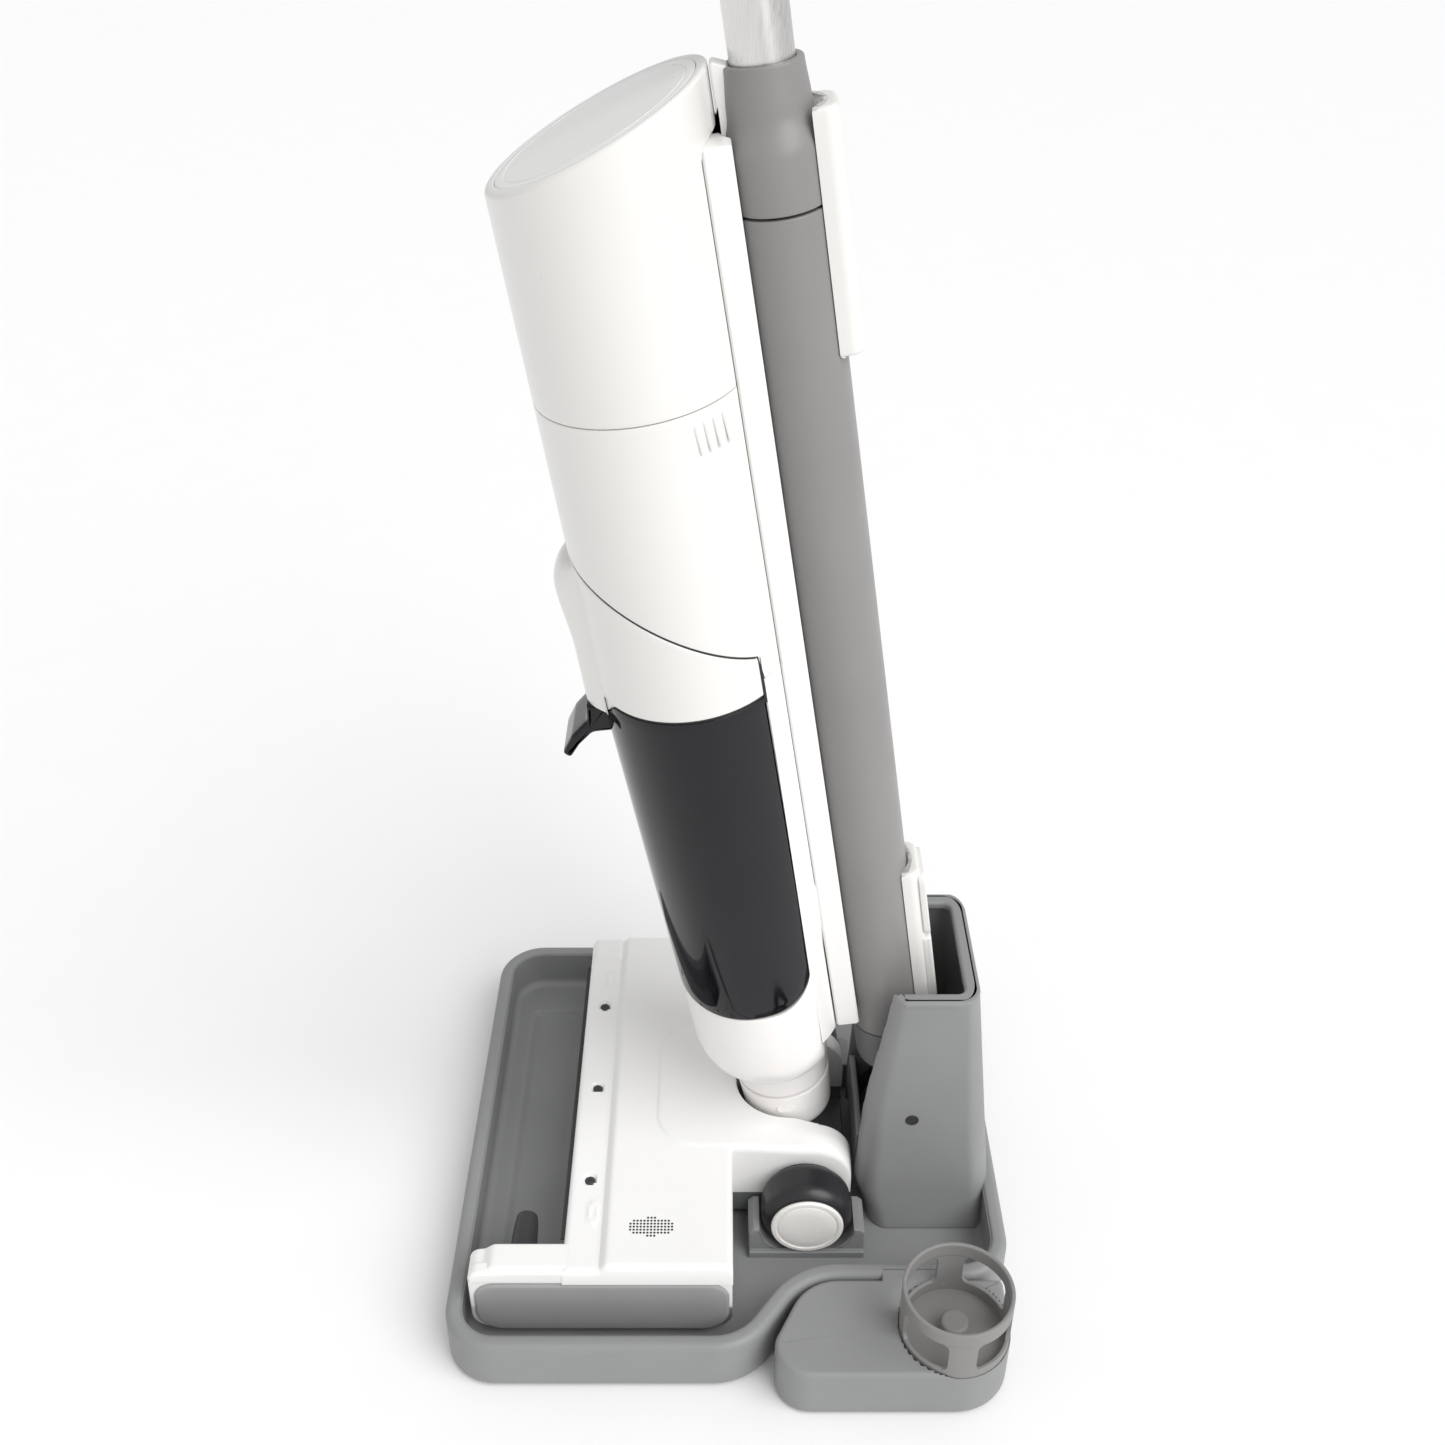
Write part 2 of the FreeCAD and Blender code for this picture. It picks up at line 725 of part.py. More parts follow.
def drive_arm():
    """Hollow white arm at the left end that holds the roller's drive hub."""
    x1 = HEAD_HALF_W - PLATE_T
    x0 = x1 - ARM_W
    rear = HEAD_FRONT - 0.2
    corners = [
        (ARM_FRONT, HEAD_BASE, 12.0),
        (rear, HEAD_BASE, 0),
        (rear, ARM_TOP, 0),
        (ARM_FRONT, ARM_TOP, 9.0),
    ]
    arm = plate_x(corners, x0, x1)
    hollow = plate_x(
        [
            (ARM_FRONT + HEAD_WALL, HEAD_BASE + HEAD_WALL, 9.0),
            (rear + 1, HEAD_BASE + HEAD_WALL, 0),
            (rear + 1, ARM_TOP - HEAD_WALL + 1.0, 0),
            (ARM_FRONT + HEAD_WALL, ARM_TOP - HEAD_WALL + 1.0, 6.0),
        ],
        x0 + HEAD_WALL,
        x1 - HEAD_WALL + 1.0,
    )
    bore = rod_x(x0 - 1, x0 + HEAD_WALL + 1, ROLLER_Y, ROLLER_Z, HUB_SHAFT_R + RUN)
    return minus(arm, hollow, bore, belt_space(0.1))


def belt_case():
    """Closed case of the toothed belt, with a bearing bore for the drive hub's shaft."""
    case = belt_space(0)
    x0 = HEAD_HALF_W - PLATE_T - ARM_W + HEAD_WALL + 1.0
    bore = rod_x(x0 - 1, x0 + 9.0, ROLLER_Y, ROLLER_Z, HUB_SHAFT_R + RUN)
    return case.cut(bore)


def drive_motor():
    x1 = HEAD_HALF_W - PLATE_T - ARM_W + HEAD_WALL + 1.0
    can = rod_x(x1 - MOTOR_L, x1 - 4.0, MOTOR_Y, MOTOR_Z, MOTOR_R)
    shaft = rod_x(x1 - 4.0, x1, MOTOR_Y, MOTOR_Z, 2.0)
    return joined(can, shaft)


def roller_drive_hub():
    """Splined peg that carries and turns the brush roller."""
    x1 = HEAD_HALF_W - PLATE_T - ARM_W - GAP
    peg = rod_x(HUB_INNER_X, x1, ROLLER_Y, ROLLER_Z, HUB_R)
    peg = peg.makeChamfer(2.0, [peg.Edges[2]])
    shaft = rod_x(x1, x1 + GAP + HEAD_WALL + 1.0 + 8.0, ROLLER_Y, ROLLER_Z, HUB_SHAFT_R)
    ribs = []
    for i in range(6):
        angle = math.radians(60 * i)
        y = ROLLER_Y + HUB_R * math.cos(angle)
        z = ROLLER_Z + HUB_R * math.sin(angle)
        ribs.append(rod_x(HUB_INNER_X - 1, x1 - 6.0, y, z, 1.4))
    return minus(joined(peg, shaft), *ribs)


def end_plate(side):
    """Grey cover plate on one end of the head."""
    front = ARM_FRONT + 3.0 if side > 0 else HEAD_FRONT + 2.0
    rear = HEAD_REAR - 2.0
    x0 = HEAD_HALF_W - PLATE_T
    corners = [(front, PLATE_Z0, 14.0), (rear, PLATE_Z0, 14.0), (rear, PLATE_Z1, 16.0), (front, PLATE_Z1, 16.0)]
    plate = plate_x(corners, x0, HEAD_HALF_W)
    if side > 0:
        return plate
    return plate.mirror(V(0, 0, 0), V(1, 0, 0))


def liner_half_w():
    return HEAD_HALF_W - PLATE_T - ARM_W - 1.0


def chamber_liner():
    """Curved wall of the roller chamber, with the suction slot through its middle."""
    x1 = liner_half_w()
    x0 = -(HEAD_HALF_W - PLATE_T - 1.0)
    shell = chamber(CHAMBER_R, x0, x1).cut(chamber(CHAMBER_R - 2.0, x0 - 1, x1 + 1))
    window = box(x0, x1, HEAD_FRONT + 0.5, HEAD_REAR, HEAD_BASE + 6.0, HEAD_TOP - STRIP_DROP - 4.0)
    return shell.common(window).cut(suction_duct_solid())


def suction_duct_solid():
    return rod_y(HEAD_FRONT + 2.0, PIVOT_Y - 32.0, 0, HEAD_BASE + HEAD_WALL + DUCT_R, DUCT_R)


def suction_duct():
    duct = suction_duct_solid().cut(chamber(CHAMBER_R, -50, 50))
    bore = rod_y(HEAD_FRONT, PIVOT_Y, 0, HEAD_BASE + HEAD_WALL + DUCT_R, DUCT_R - 2.0)
    return duct.cut(bore)


def scraper():
    """Thin strip that wipes the roller, on the liner's upper edge."""
    half = liner_half_w() - 4.0
    z1 = HEAD_TOP - STRIP_DROP - 4.0
    y0 = ROLLER_Y + math.sqrt((CHAMBER_R - 4.0) ** 2 - (z1 - ROLLER_Z) ** 2)
    return box(-half, half, y0, y0 + 4.0, z1, z1 + 0.9)


def spray_bar():
    """Water bar across the roller, behind the liner, under the cover's seat strip."""
    half = liner_half_w() - 12.0
    y = STRIP_REAR + 4.0
    return rod_x(-half, half, y, HEAD_TOP - STRIP_DROP - 9.0, 3.0)


def squeegee():
    half = HEAD_HALF_W - PLATE_T - HEAD_WALL - 14
    return box(-half, half, HEAD_REAR - 7, HEAD_REAR - 2, TRAY_FLOOR + 2.0, HEAD_BASE + 1.5)


def pivot_pin_pair():
    return both_sides(rod_x(NECK_R0 - 2.5, TAIL_HALF_W - 2.0, PIVOT_Y, PIVOT_Z, PIN_R))


def wheel_axle_pair():
    return both_sides(rod_x(SLOT_HALF_W + 3.0, TAIL_HALF_W + WHEEL_W - 5.0, WHEEL_Y, WHEEL_Z, AXLE_R))


def make_head():
    save("head_cover", head_cover())
    save("head_chassis", head_chassis())
    save("drive_arm", drive_arm())
    save("belt_case", belt_case())
    save("drive_motor", drive_motor().cut(belt_space(0)))
    save("roller_drive_hub", roller_drive_hub())
    save("end_plate_left", end_plate(1))
    save("end_plate_right", end_plate(-1))
    save("chamber_liner", chamber_liner())
    save("suction_duct", suction_duct())
    save("scraper", scraper())
    save("spray_bar", spray_bar())
    save("squeegee", squeegee())
    save("cover_screws", cover_screws())
    save("pivot_pins", pivot_pin_pair())
    save("wheel_axles", wheel_axle_pair())


# ---------------------------------------------------------------- rear wheels


def wheel_pieces():
    """Tyre, hub and hub cap of the left wheel."""
    x0 = TAIL_HALF_W + 1.0
    x1 = x0 + WHEEL_W
    rim_r = WHEEL_R - TYRE_T
    outer = rod_x(x0, x1 - CAP_T, WHEEL_Y, WHEEL_Z, WHEEL_R)
    outer = outer.makeFillet(5.0, [e for e in outer.Edges if e.Closed])
    tyre = outer.cut(rod_x(x0 - 1, x1, WHEEL_Y, WHEEL_Z, rim_r))
    hub = rod_x(x0 + 2.0, x1 - CAP_T - 0.5, WHEEL_Y, WHEEL_Z, rim_r)
    hub = hub.cut(rod_x(x0, x1 - CAP_T - 4.0, WHEEL_Y, WHEEL_Z, AXLE_R + RUN))
    cap = rod_x(x1 - CAP_T - 0.5, x1, WHEEL_Y, WHEEL_Z, CAP_R)
    return {"tyre": tyre, "hub": hub, "cap": cap}


def make_wheels():
    for name, shape in wheel_pieces().items():
        save("left_" + name, shape)
        save("right_" + name, shape.mirror(V(0, 0, 0), V(1, 0, 0)))


# ---------------------------------------------------------------- neck


def neck_button(clearance):
    return box(
        NECK_R1 - 8.0,
        NECK_R1 - 1.0 + clearance,
        NECK_Y - 6.0 - clearance,
        NECK_Y + 6.0 + clearance,
        29.0 - clearance,
        36.0 + clearance,
    )


def neck_cup():
    """Round cup between head and body, with two ears on the pivot pins and a spigot that the body turns on."""
    cup = neck_solid(0)
    ears = []
    for side in (-1, 1):
        x0 = min(side * NECK_R0 * 0.92, side * NECK_R1)
        ears.append(
            joined(
                rod_x(x0, x0 + NECK_R1 - NECK_R0 * 0.92, 0, 0, PIN_R + 5.0),
                box(x0, x0 + NECK_R1 - NECK_R0 * 0.92, NECK_Y - 4.0, PIN_R + 5.0, 0, NECK_Z0 + 4.0),
            )
        )
    spigot = rod_z(NECK_Z1, NECK_Z1 + SPIGOT_H, 0, NECK_Y, SPIGOT_R)
    throat = rod_z(-1, NECK_Z1 + SPIGOT_H + 1, 0, NECK_Y, HOSE_R + 2.0)
    room = rod_z(NECK_Z0 + NECK_WALL, NECK_Z1 - NECK_WALL, 0, NECK_Y, NECK_R0 - NECK_WALL)
    pin_hole = rod_x(-60, 60, 0, 0, PIN_R + RUN)
    pocket = neck_button(GAP).fuse(box(NECK_R1 - 12.0, NECK_R1 - 7.0, NECK_Y - 7, NECK_Y + 7, 28.0, 37.0))
    return minus(joined(cup, spigot, *ears), throat, room, pin_hole, pocket)


def neck_hose():
    """Dirty-water hose through the neck, seated in the cup's throat."""
    tube = rod_z(1.0, NECK_Z1 + SPIGOT_H + 4.0, 0, NECK_Y, HOSE_R)
    collar = rod_z(NECK_Z0, NECK_Z0 + NECK_WALL, 0, NECK_Y, HOSE_R + 2.0)
    return joined(tube, collar).cut(rod_z(0, 80, 0, NECK_Y, HOSE_R - 2.5))


def make_neck():
    save("neck_cup", lean(neck_cup()))
    save("neck_hose", lean(neck_hose()))
    save("neck_button", lean(neck_button(0)))


# ---------------------------------------------------------------- body shells


def body_oval(inset, z0, z1):
    return oval(BODY_HALF_W - inset, BODY_HALF_D - inset, BODY_Y, z0, z1)


def body_wall_region(inset, z0, z1):
    """The body's oval, flattened where the spine runs up its back."""
    flat = box(-90, 90, BACK_Y - inset, 90, z0 - 1, SPINE_Z1 + GAP)
    return body_oval(inset, z0, z1).cut(flat)


def bowl_loft(inset):
    """Lower body, swelling from the neck's width to the full oval."""
    low = NECK_Z1 + 1.0
    start = oval_wire(NECK_R1 + 0.5 - inset, NECK_R1 + 0.4 - inset, NECK_Y, low)
    half_w = BODY_HALF_W - inset
    half_d = BODY_HALF_D - inset
    waist = oval_wire(half_w - 11.0, half_d - 5.0, BODY_Y + 2.0, BOWL_WAIST_Z)
    shoulder = oval_wire(half_w - 2.0, half_d - 1.0, BODY_Y, BOWL_RIM_Z - 10.0)
    top = oval_wire(half_w, half_d, BODY_Y, BOWL_RIM_Z + 45.0)
    return Part.makeLoft([start, waist, shoulder, top], True, False)


def tank_envelope(grow):
    """Space of the recovery tank and its lid: level underneath, a rounded heel, flat behind, sloped on top."""
    low = TANK_FLOOR_Z - grow
    back = TANK_BACK_Y + grow
    high = LID_FRONT_Z + 60
    side = [(-120, low, 0), (back, low, TANK_HEEL_R), (back, high, 0), (-120, high, 0)]
    return plate_x(side, -90, 90).cut(above_lid(grow))


def above_lid(grow):
    """Everything above the sloped joint between the tank's lid and the can."""
    slope = (LID_REAR_Z - LID_FRONT_Z) / (TANK_BACK_Y - BODY_Y + BODY_HALF_D)
    y0, y1 = -140.0, 120.0
    front = BODY_Y - BODY_HALF_D
    z0 = LID_FRONT_Z + slope * (y0 - front) + grow
    z1 = LID_FRONT_Z + slope * (y1 - front) + grow
    return plate_x([(y0, z0, 0), (y1, z1, 0), (y1, 700, 0), (y0, 700, 0)], -100, 100)


def lower_housing():
    """White bowl under the tank and the bay wall behind it."""
    bowl = bowl_loft(0).common(box(-90, 90, -90, 90, 0, BOWL_RIM_Z))
    bay = body_oval(0, BOWL_RIM_Z, BAY_TOP_Z)
    shell = joined(bowl, bay).cut(tank_envelope(GAP + 0.1))
    floor_z = NECK_Z1 + SPIGOT_H + 4.0
    hollow = bowl_loft(BODY_WALL).common(box(-90, 90, -90, TANK_BACK_Y, floor_z - 1.0, BOWL_RIM_Z))
    hollow = hollow.cut(tank_envelope(BODY_WALL))
    bearing = rod_z(NECK_Z1, floor_z, 0, NECK_Y, SPIGOT_R + RUN)
    riser = rod_z(floor_z + GAP, TANK_FLOOR_Z - BODY_WALL, 0, NECK_Y, HOSE_R)
    hollow = hollow.cut(riser)
    bore = rod_z(NECK_Z1, TANK_FLOOR_Z + 1.0, 0, NECK_Y, HOSE_R - 2.5)
    flat = box(-90, 90, BACK_Y, 120, 0, 700)
    flat = flat.common(box(-90, 90, 0, 120, SPINE_Z0 - 0.3, 700))
    return minus(shell, hollow, bearing, bore, flat, foot_link())


def can_lower_shell():
    """White can between the tank's lid and the waist seam, with a floor above the lid."""
    shell = body_wall_region(0, BAY_TOP_Z + SEAM, CAN_SEAM_Z)
    hollow = body_wall_region(BODY_WALL, BAY_TOP_Z, CAN_SEAM_Z + 1).common(above_lid(GAP + BODY_WALL))
    return minus(shell, tank_envelope(GAP + 0.1), hollow, vent_slots())


def vent_slots():
    """Slanted exhaust slots near the top of the can's left side."""
    z1 = CAN_SEAM_Z - 5.0
    z0 = z1 - VENT_H
    slots = []
    for i in range(VENT_COUNT):
        y = BACK_Y - 21.0 + VENT_PITCH * i
        slot = box(20, 90, y, y + VENT_W, z0, z1)
        slot.rotate(V(50, y, (z0 + z1) / 2), V(1, 0, 0), -6)
        slots.append(slot)
    return joined(*slots)


def top_plane(drop):
    """Everything above the slanted top of the can, lowered by drop."""
    y0, y1 = -140.0, 140.0
    front = BODY_Y - BODY_HALF_D
    slope = (CAN_REAR_Z - CAN_FRONT_Z) / (2 * BODY_HALF_D)
    z0 = CAN_FRONT_Z + slope * (y0 - front) - drop
    z1 = CAN_FRONT_Z + slope * (y1 - front) - drop
    return plate_x([(y0, z0, 0), (y1, z1, 0), (y1, 800, 0), (y0, 800, 0)], -100, 100)


def can_upper_shell():
    """White can above the waist seam, with a ledge that the display panel lies in."""
    shell = body_wall_region(0, CAN_SEAM_Z + SEAM, CAN_REAR_Z + 10).cut(top_plane(0))
    hollow = body_wall_region(BODY_WALL, CAN_SEAM_Z, CAN_REAR_Z + 10).cut(top_plane(PANEL_T + 4.0))
    ledge = body_oval(PANEL_INSET, CAN_SEAM_Z + 40, CAN_REAR_Z + 10).common(top_plane(PANEL_T))
    return minus(shell, hollow, ledge)


def display_panel():
    panel = body_oval(PANEL_INSET + 0.15, CAN_SEAM_Z + 40, CAN_REAR_Z + 10).cut(top_plane(0))
    return panel.common(top_plane(PANEL_T))


def column_oval(grow, z0, z1):
    return oval(COLUMN_HALF_W + grow, COLUMN_HALF_D + grow, COLUMN_Y, z0, z1)


def spine():
    """White backbone between can and column, with a fin that rises to the collar."""
    front = BACK_Y + 0.3
    plate = box(-SPINE_HALF_W, SPINE_HALF_W, front, SPINE_REAR_Y, SPINE_Z0, SPINE_Z1)
    channel = column_oval(GAP, SPINE_Z0 - 1, SPINE_Z1 + 1)
    fin = box(-6, 6, BODY_Y + BODY_HALF_D + 0.4, COLUMN_Y - COLLAR_R + 3.0, SPINE_Z1, COLLAR_Z1)
    wires = box(-8, 8, front + 2.5, front + 5.0, SPINE_Z0 + 5, SPINE_Z1 - 5)
    return minus(joined(plate.cut(channel), fin), wires, collar_solid())


def collar_solid():
    flare = Part.makeLoft(
        [
            oval_wire(COLUMN_HALF_W, COLUMN_HALF_D, COLUMN_Y, COLLAR_SHOULDER_Z),
            oval_wire(COLLAR_R + 1.5, COLLAR_R + 1.4, COLUMN_Y, COLLAR_NECK_Z),
            oval_wire(COLLAR_R, COLLAR_R - 0.05, COLUMN_Y, COLLAR_Z1),
        ],
        True,
        True,
    )
    return joined(column_oval(0, COLUMN_Z1 + 1.2, COLLAR_SHOULDER_Z), flare)


def pole_collar():
    """Grey collar that clamps the pole on top of the column."""
    socket = rod_z(COLUMN_Z1 + 12.0, COLLAR_Z1 + 1, 0, COLUMN_Y, POLE_R)
    return collar_solid().cut(socket)


def foot_link():
    """Dark bracket that ties the column's foot to the spine and the bowl."""
    y0 = BODY_Y + BODY_HALF_D - 9.0
    y1 = COLUMN_Y - COLUMN_HALF_D + 6.0
    return box(-12, 12, y0, y1, SPINE_Z0 - 15.0, SPINE_Z0 - GAP)


def column_foot():
    """Lighter grey end piece below the column with the charging sockets under it."""
    foot = joined(column_oval(-0.5, COLUMN_FOOT_Z, COLUMN_Z0 - 1.0), foot_link())
    top = COLUMN_FOOT_Z + 2.5
    sockets = [rod_z(COLUMN_FOOT_Z - 1, top, x, y, SOCKET_R) for x, y in pin_places()]
    return minus(foot, *sockets)


def make_body():
    save("lower_housing", lean(lower_housing()))
    save("can_lower_shell", lean(can_lower_shell()))
    save("can_upper_shell", lean(can_upper_shell()))
    save("display_panel", lean(display_panel()))
    save("spine_frame", lean(spine()))
    save("pole_collar", lean(pole_collar()))
    save("column_foot", lean(column_foot()))
    save("suction_motor", lean(suction_motor()))
    save("motor_filter", lean(motor_filter()))
    save("battery_pack", lean(battery_pack()))
    save("control_board", lean(control_board()))
    save("water_pump", lean(water_pump()))


# ---------------------------------------------------------------- inside the body


def suction_motor():
    """Motor can with its fan housing below."""
    fan_z = LID_FRONT_Z + FILTER_H + 7.0
    can_z = fan_z + FAN_H
    fan = rod_z(fan_z, can_z, 0, BODY_Y, FAN_R)
    can = rod_z(can_z, CAN_SEAM_Z - 12.0, 0, BODY_Y, MOTOR_CAN_R)
    return joined(fan, can)


def motor_filter():
    """Round cup with a thick rim under the motor."""
    z0 = LID_FRONT_Z + 6.0
    well = rod_z(z0 + FILTER_H / 3, z0 + FILTER_H + 1.0, 0, BODY_Y, FILTER_R - 10.0)
    return rod_z(z0, z0 + FILTER_H, 0, BODY_Y, FILTER_R).cut(well)


def battery_pack():
    """Six round cells in two rows, standing in the can's upper half."""
    z0 = CAN_SEAM_Z + 4.0
    z1 = z0 + 4.0
    cells = []
    for row in (-1, 1):
        for i in (-1, 0, 1):
            y = BODY_Y + row * CELL_PITCH / 2
            cells.append(rod_z(z1, z1 + CELL_L, CELL_PITCH * i, y, CELL_R))
    half_w = CELL_PITCH * 1.5 + 1.0
    half_d = CELL_PITCH + 2.0
    tray = rounded_box(-half_w, half_w, BODY_Y - half_d, BODY_Y + half_d, z0, z1, 8.0)
    return joined(tray, *cells)


def control_board():
    """Circuit board that lies on top of the cells."""
    z0 = CAN_SEAM_Z + 8.0 + CELL_L + 3.0
    return rounded_box(-28, 28, BODY_Y - 26, BODY_Y + 22, z0, z0 + BOARD_T, 3.0)


def water_pump():
    """Small pump in the bowl beside the hose."""
    pump = rod_x(-PUMP_HALF_L, PUMP_HALF_L, TANK_BACK_Y - 13.0, PUMP_Z, PUMP_R)
    return pump.cut(rod_z(0, BOWL_RIM_Z, 0, NECK_Y, HOSE_R + 1.0))


# ---------------------------------------------------------------- pole and handle


def grip_frame(shape):
    """Tilts the grip back about the top of the sleeve."""
    shape.rotate(V(0, COLUMN_Y, SLEEVE_Z1), V(1, 0, 0), -GRIP_TILT_DEG)
    return shape


def grip_loop():
    """Closed oval loop of round bar."""
    low = SLEEVE_Z1 + GRIP_BEND_R + GRIP_R - 9.0
    high = low + 2 * GRIP_HALF_L
    lower = Part.makeTorus(GRIP_BEND_R, GRIP_R, V(0, COLUMN_Y, low), V(1, 0, 0))
    upper = Part.makeTorus(GRIP_BEND_R, GRIP_R, V(0, COLUMN_Y, high), V(1, 0, 0))
    lower = lower.common(box(-50, 50, 0, 160, low - 60, low))
    upper = upper.common(box(-50, 50, 0, 160, high, high + 60))
    bars = []
    for side in (-1, 1):
        bars.append(rod_z(low, high, 0, COLUMN_Y + side * GRIP_BEND_R, GRIP_R))
    return grip_frame(joined(lower, upper, *bars))


def handle_button(z, clearance, travel):
    """Round button on the front of the sleeve, or with clearance and travel the pocket that it presses into."""
    front = COLUMN_Y - SLEEVE_R - BUTTON_PROUD
    return rod_y(front, front + BUTTON_L + clearance + travel, 0, z, BUTTON_R + clearance)


def button_heights():
    return {"power_button": SLEEVE_Z1 - 20.0, "self_clean_button": SLEEVE_Z1 - 44.0}


def handle_sleeve():
    """White sleeve that joins the pole to the grip and holds the two buttons."""
    sleeve = rod_z(SLEEVE_Z0, SLEEVE_Z1 + 2.0, 0, COLUMN_Y, SLEEVE_R)
    sleeve = sleeve.makeFillet(4.0, [e for e in sleeve.Edges if e.Closed])
    pole_socket = rod_z(SLEEVE_Z0 - 1, POLE_TOP, 0, COLUMN_Y, POLE_R)
    pockets = [handle_button(z, GAP, BUTTON_TRAVEL) for z in button_heights().values()]
    return minus(sleeve, pole_socket, grip_loop(), *pockets)


def pole():
    tube = rod_z(COLUMN_Z1 + 12.0, POLE_TOP, 0, COLUMN_Y, POLE_R)
    return tube.cut(rod_z(COLUMN_Z1, POLE_TOP + 1, 0, COLUMN_Y, POLE_R - POLE_WALL))


def make_handle():
    save("pole", lean(pole()))
    save("handle_sleeve", lean(handle_sleeve()))
    save("handle_grip", lean(grip_loop()))
    for name, z in button_heights().items():
        save(name, lean(handle_button(z, 0, 0)))


# ---------------------------------------------------------------- recovery tank


def tank_body_region(inset, z0, z1):
    region = body_oval(inset, z0, z1)
    return region.common(tank_envelope(-inset))


def spout():
    """Block under the lid's grip, with the thin curved tongue that lifts the tank out."""
    front = BODY_Y - BODY_HALF_D
    top = LID_GRIP_Z - SEAM
    tip = front - SPOUT_REACH
    corners = [
        (front + 4.0, SPOUT_Z, 0),
        (front + 4.0, top, 0),
        (front - LID_GRIP_PROUD + 2.0, top, 1.5),
        (front - LID_GRIP_PROUD, SPOUT_Z + 7.0, 5.0),
        (tip + 7.5, SPOUT_Z, 6.0),
        (tip, SPOUT_Z - 10.5, 1.5),
        (tip + 5.0, SPOUT_Z - 13.5, 1.5),
        (front - LID_GRIP_PROUD, SPOUT_Z - 1.0, 8.0),
    ]
    return plate_x(corners, -SPOUT_HALF_W, SPOUT_HALF_W)


def recovery_tank():
    """Dark translucent tank, open at the top, with an inlet collar in its floor."""
    top = TANK_LID_Z
    outer = tank_body_region(0, 0, top)
    inner = tank_body_region(TANK_WALL, 0, top + 1)
    inlet = rod_z(TANK_FLOOR_Z - 1.0, TANK_FLOOR_Z + TANK_WALL + 1.0, 0, NECK_Y, HOSE_R - 2.0)
    hook = spout().cut(body_oval(1.0, SPOUT_Z - 30.0, LID_GRIP_Z + 5.0))
    return minus(joined(outer.cut(inner), hook), inlet)


def standpipe():
    """Riser that carries dirty water from the tank's floor to under the lid."""
    low = TANK_FLOOR_Z + TANK_WALL
    pipe = rod_z(low, TANK_LID_Z - 22.0, 0, NECK_Y, HOSE_R)
    pipe = pipe.cut(rod_z(low - 1, TANK_LID_Z, 0, NECK_Y, HOSE_R - 2.0))
    cap = rod_z(TANK_LID_Z - 14.0, TANK_LID_Z - 11.0, 0, NECK_Y, HOSE_R + 4.0)
    struts = []
    for x in (-HOSE_R + 1.0, HOSE_R - 1.0):
        struts.append(rod_z(TANK_LID_Z - 23.0, TANK_LID_Z - 13.0, x, NECK_Y, 1.0))
    riser = joined(pipe, cap, *struts)
    return riser.common(tank_body_region(TANK_WALL, 0, TANK_LID_Z))


def lid_handle():
    """Raised finger grip down the front of the lid, deepest near its top."""
    front = BODY_Y - BODY_HALF_D
    corners = [
        (front + 6.0, LID_GRIP_Z, 0),
        (front - LID_GRIP_PROUD + 2.0, LID_GRIP_Z, 2.0),
        (front - LID_GRIP_PROUD, LID_FRONT_Z - 22.0, 12.0),
        (front - 4.0, LID_FRONT_Z - 8.0, 6.0),
        (front + 6.0, LID_FRONT_Z - 5.0, 0),
    ]
    return plate_x(corners, -LID_GRIP_HALF_W, LID_GRIP_HALF_W)


def tank_lid():
    """White lid, sloped to meet the can, hollow from below."""
    low = TANK_LID_Z + 1.2
    shell = body_oval(0, low, LID_FRONT_Z + 20).common(tank_envelope(0))
    handle = lid_handle().cut(body_oval(-SEAM, LID_GRIP_Z - 1.0, low)).cut(above_lid(0))
    hollow = body_oval(TANK_WALL + 1, low - 1, LID_FRONT_Z).common(tank_envelope(-TANK_WALL - 1))
    return minus(joined(shell, handle), hollow)


def tank_seal():
    """Soft ring between tank and lid."""
    ring = tank_body_region(0.6, TANK_LID_Z, TANK_LID_Z + 1.2)
    return ring.cut(tank_body_region(TANK_WALL + 0.6, TANK_LID_Z - 1, TANK_LID_Z + 3))


def make_recovery_tank():
    save("recovery_tank", lean(recovery_tank()))
    save("tank_standpipe", lean(standpipe()))
    save("tank_lid", lean(tank_lid()))
    save("tank_seal", lean(tank_seal()))


# ---------------------------------------------------------------- clean water tank


def clean_tank():
    """Long grey tank that forms the column behind the spine."""
    outer = column_oval(0, COLUMN_Z0, COLUMN_Z1)
    inner = column_oval(-COLUMN_WALL, COLUMN_Z0 + COLUMN_WALL, COLUMN_Z1 - COLUMN_WALL)
    return outer.cut(inner)


def tank_latch():
    """Flat slider behind the column's top, pressed down to free the tank."""
    front = COLUMN_Y + COLUMN_HALF_D + GAP
    return box(-REAR_PLATE_HALF_W, REAR_PLATE_HALF_W, front, front + LATCH_T, LATCH_Z0, LATCH_Z1)


def tank_grip():
    """Bar that wraps the column's rear, with a framed and ribbed finger recess in its upper half."""
    rear = COLUMN_Y + COLUMN_HALF_D + TANK_GRIP_T
    front = COLUMN_Y + COLUMN_HALF_D * 0.6
    bar = box(-REAR_PLATE_HALF_W, REAR_PLATE_HALF_W, front, rear, TANK_GRIP_Z0, TANK_GRIP_Z1)
    bar = bar.cut(column_oval(0, TANK_GRIP_Z0 - 1, TANK_GRIP_Z1 + 1))
    half = REAR_PLATE_HALF_W - RECESS_FRAME
    floor = rear - RECESS_DEPTH
    recess = box(-half, half, floor, rear + 1, RECESS_Z0, TANK_GRIP_Z1 - RECESS_FRAME)
    ribs = []
    for i in range(RIB_COUNT):
        z = RECESS_Z0 + 5.0 + RIB_PITCH * i
        ribs.append(box(-half, half, floor, floor + RECESS_DEPTH / 2, z, z + RIB_H))
    return joined(bar.cut(recess), *ribs)


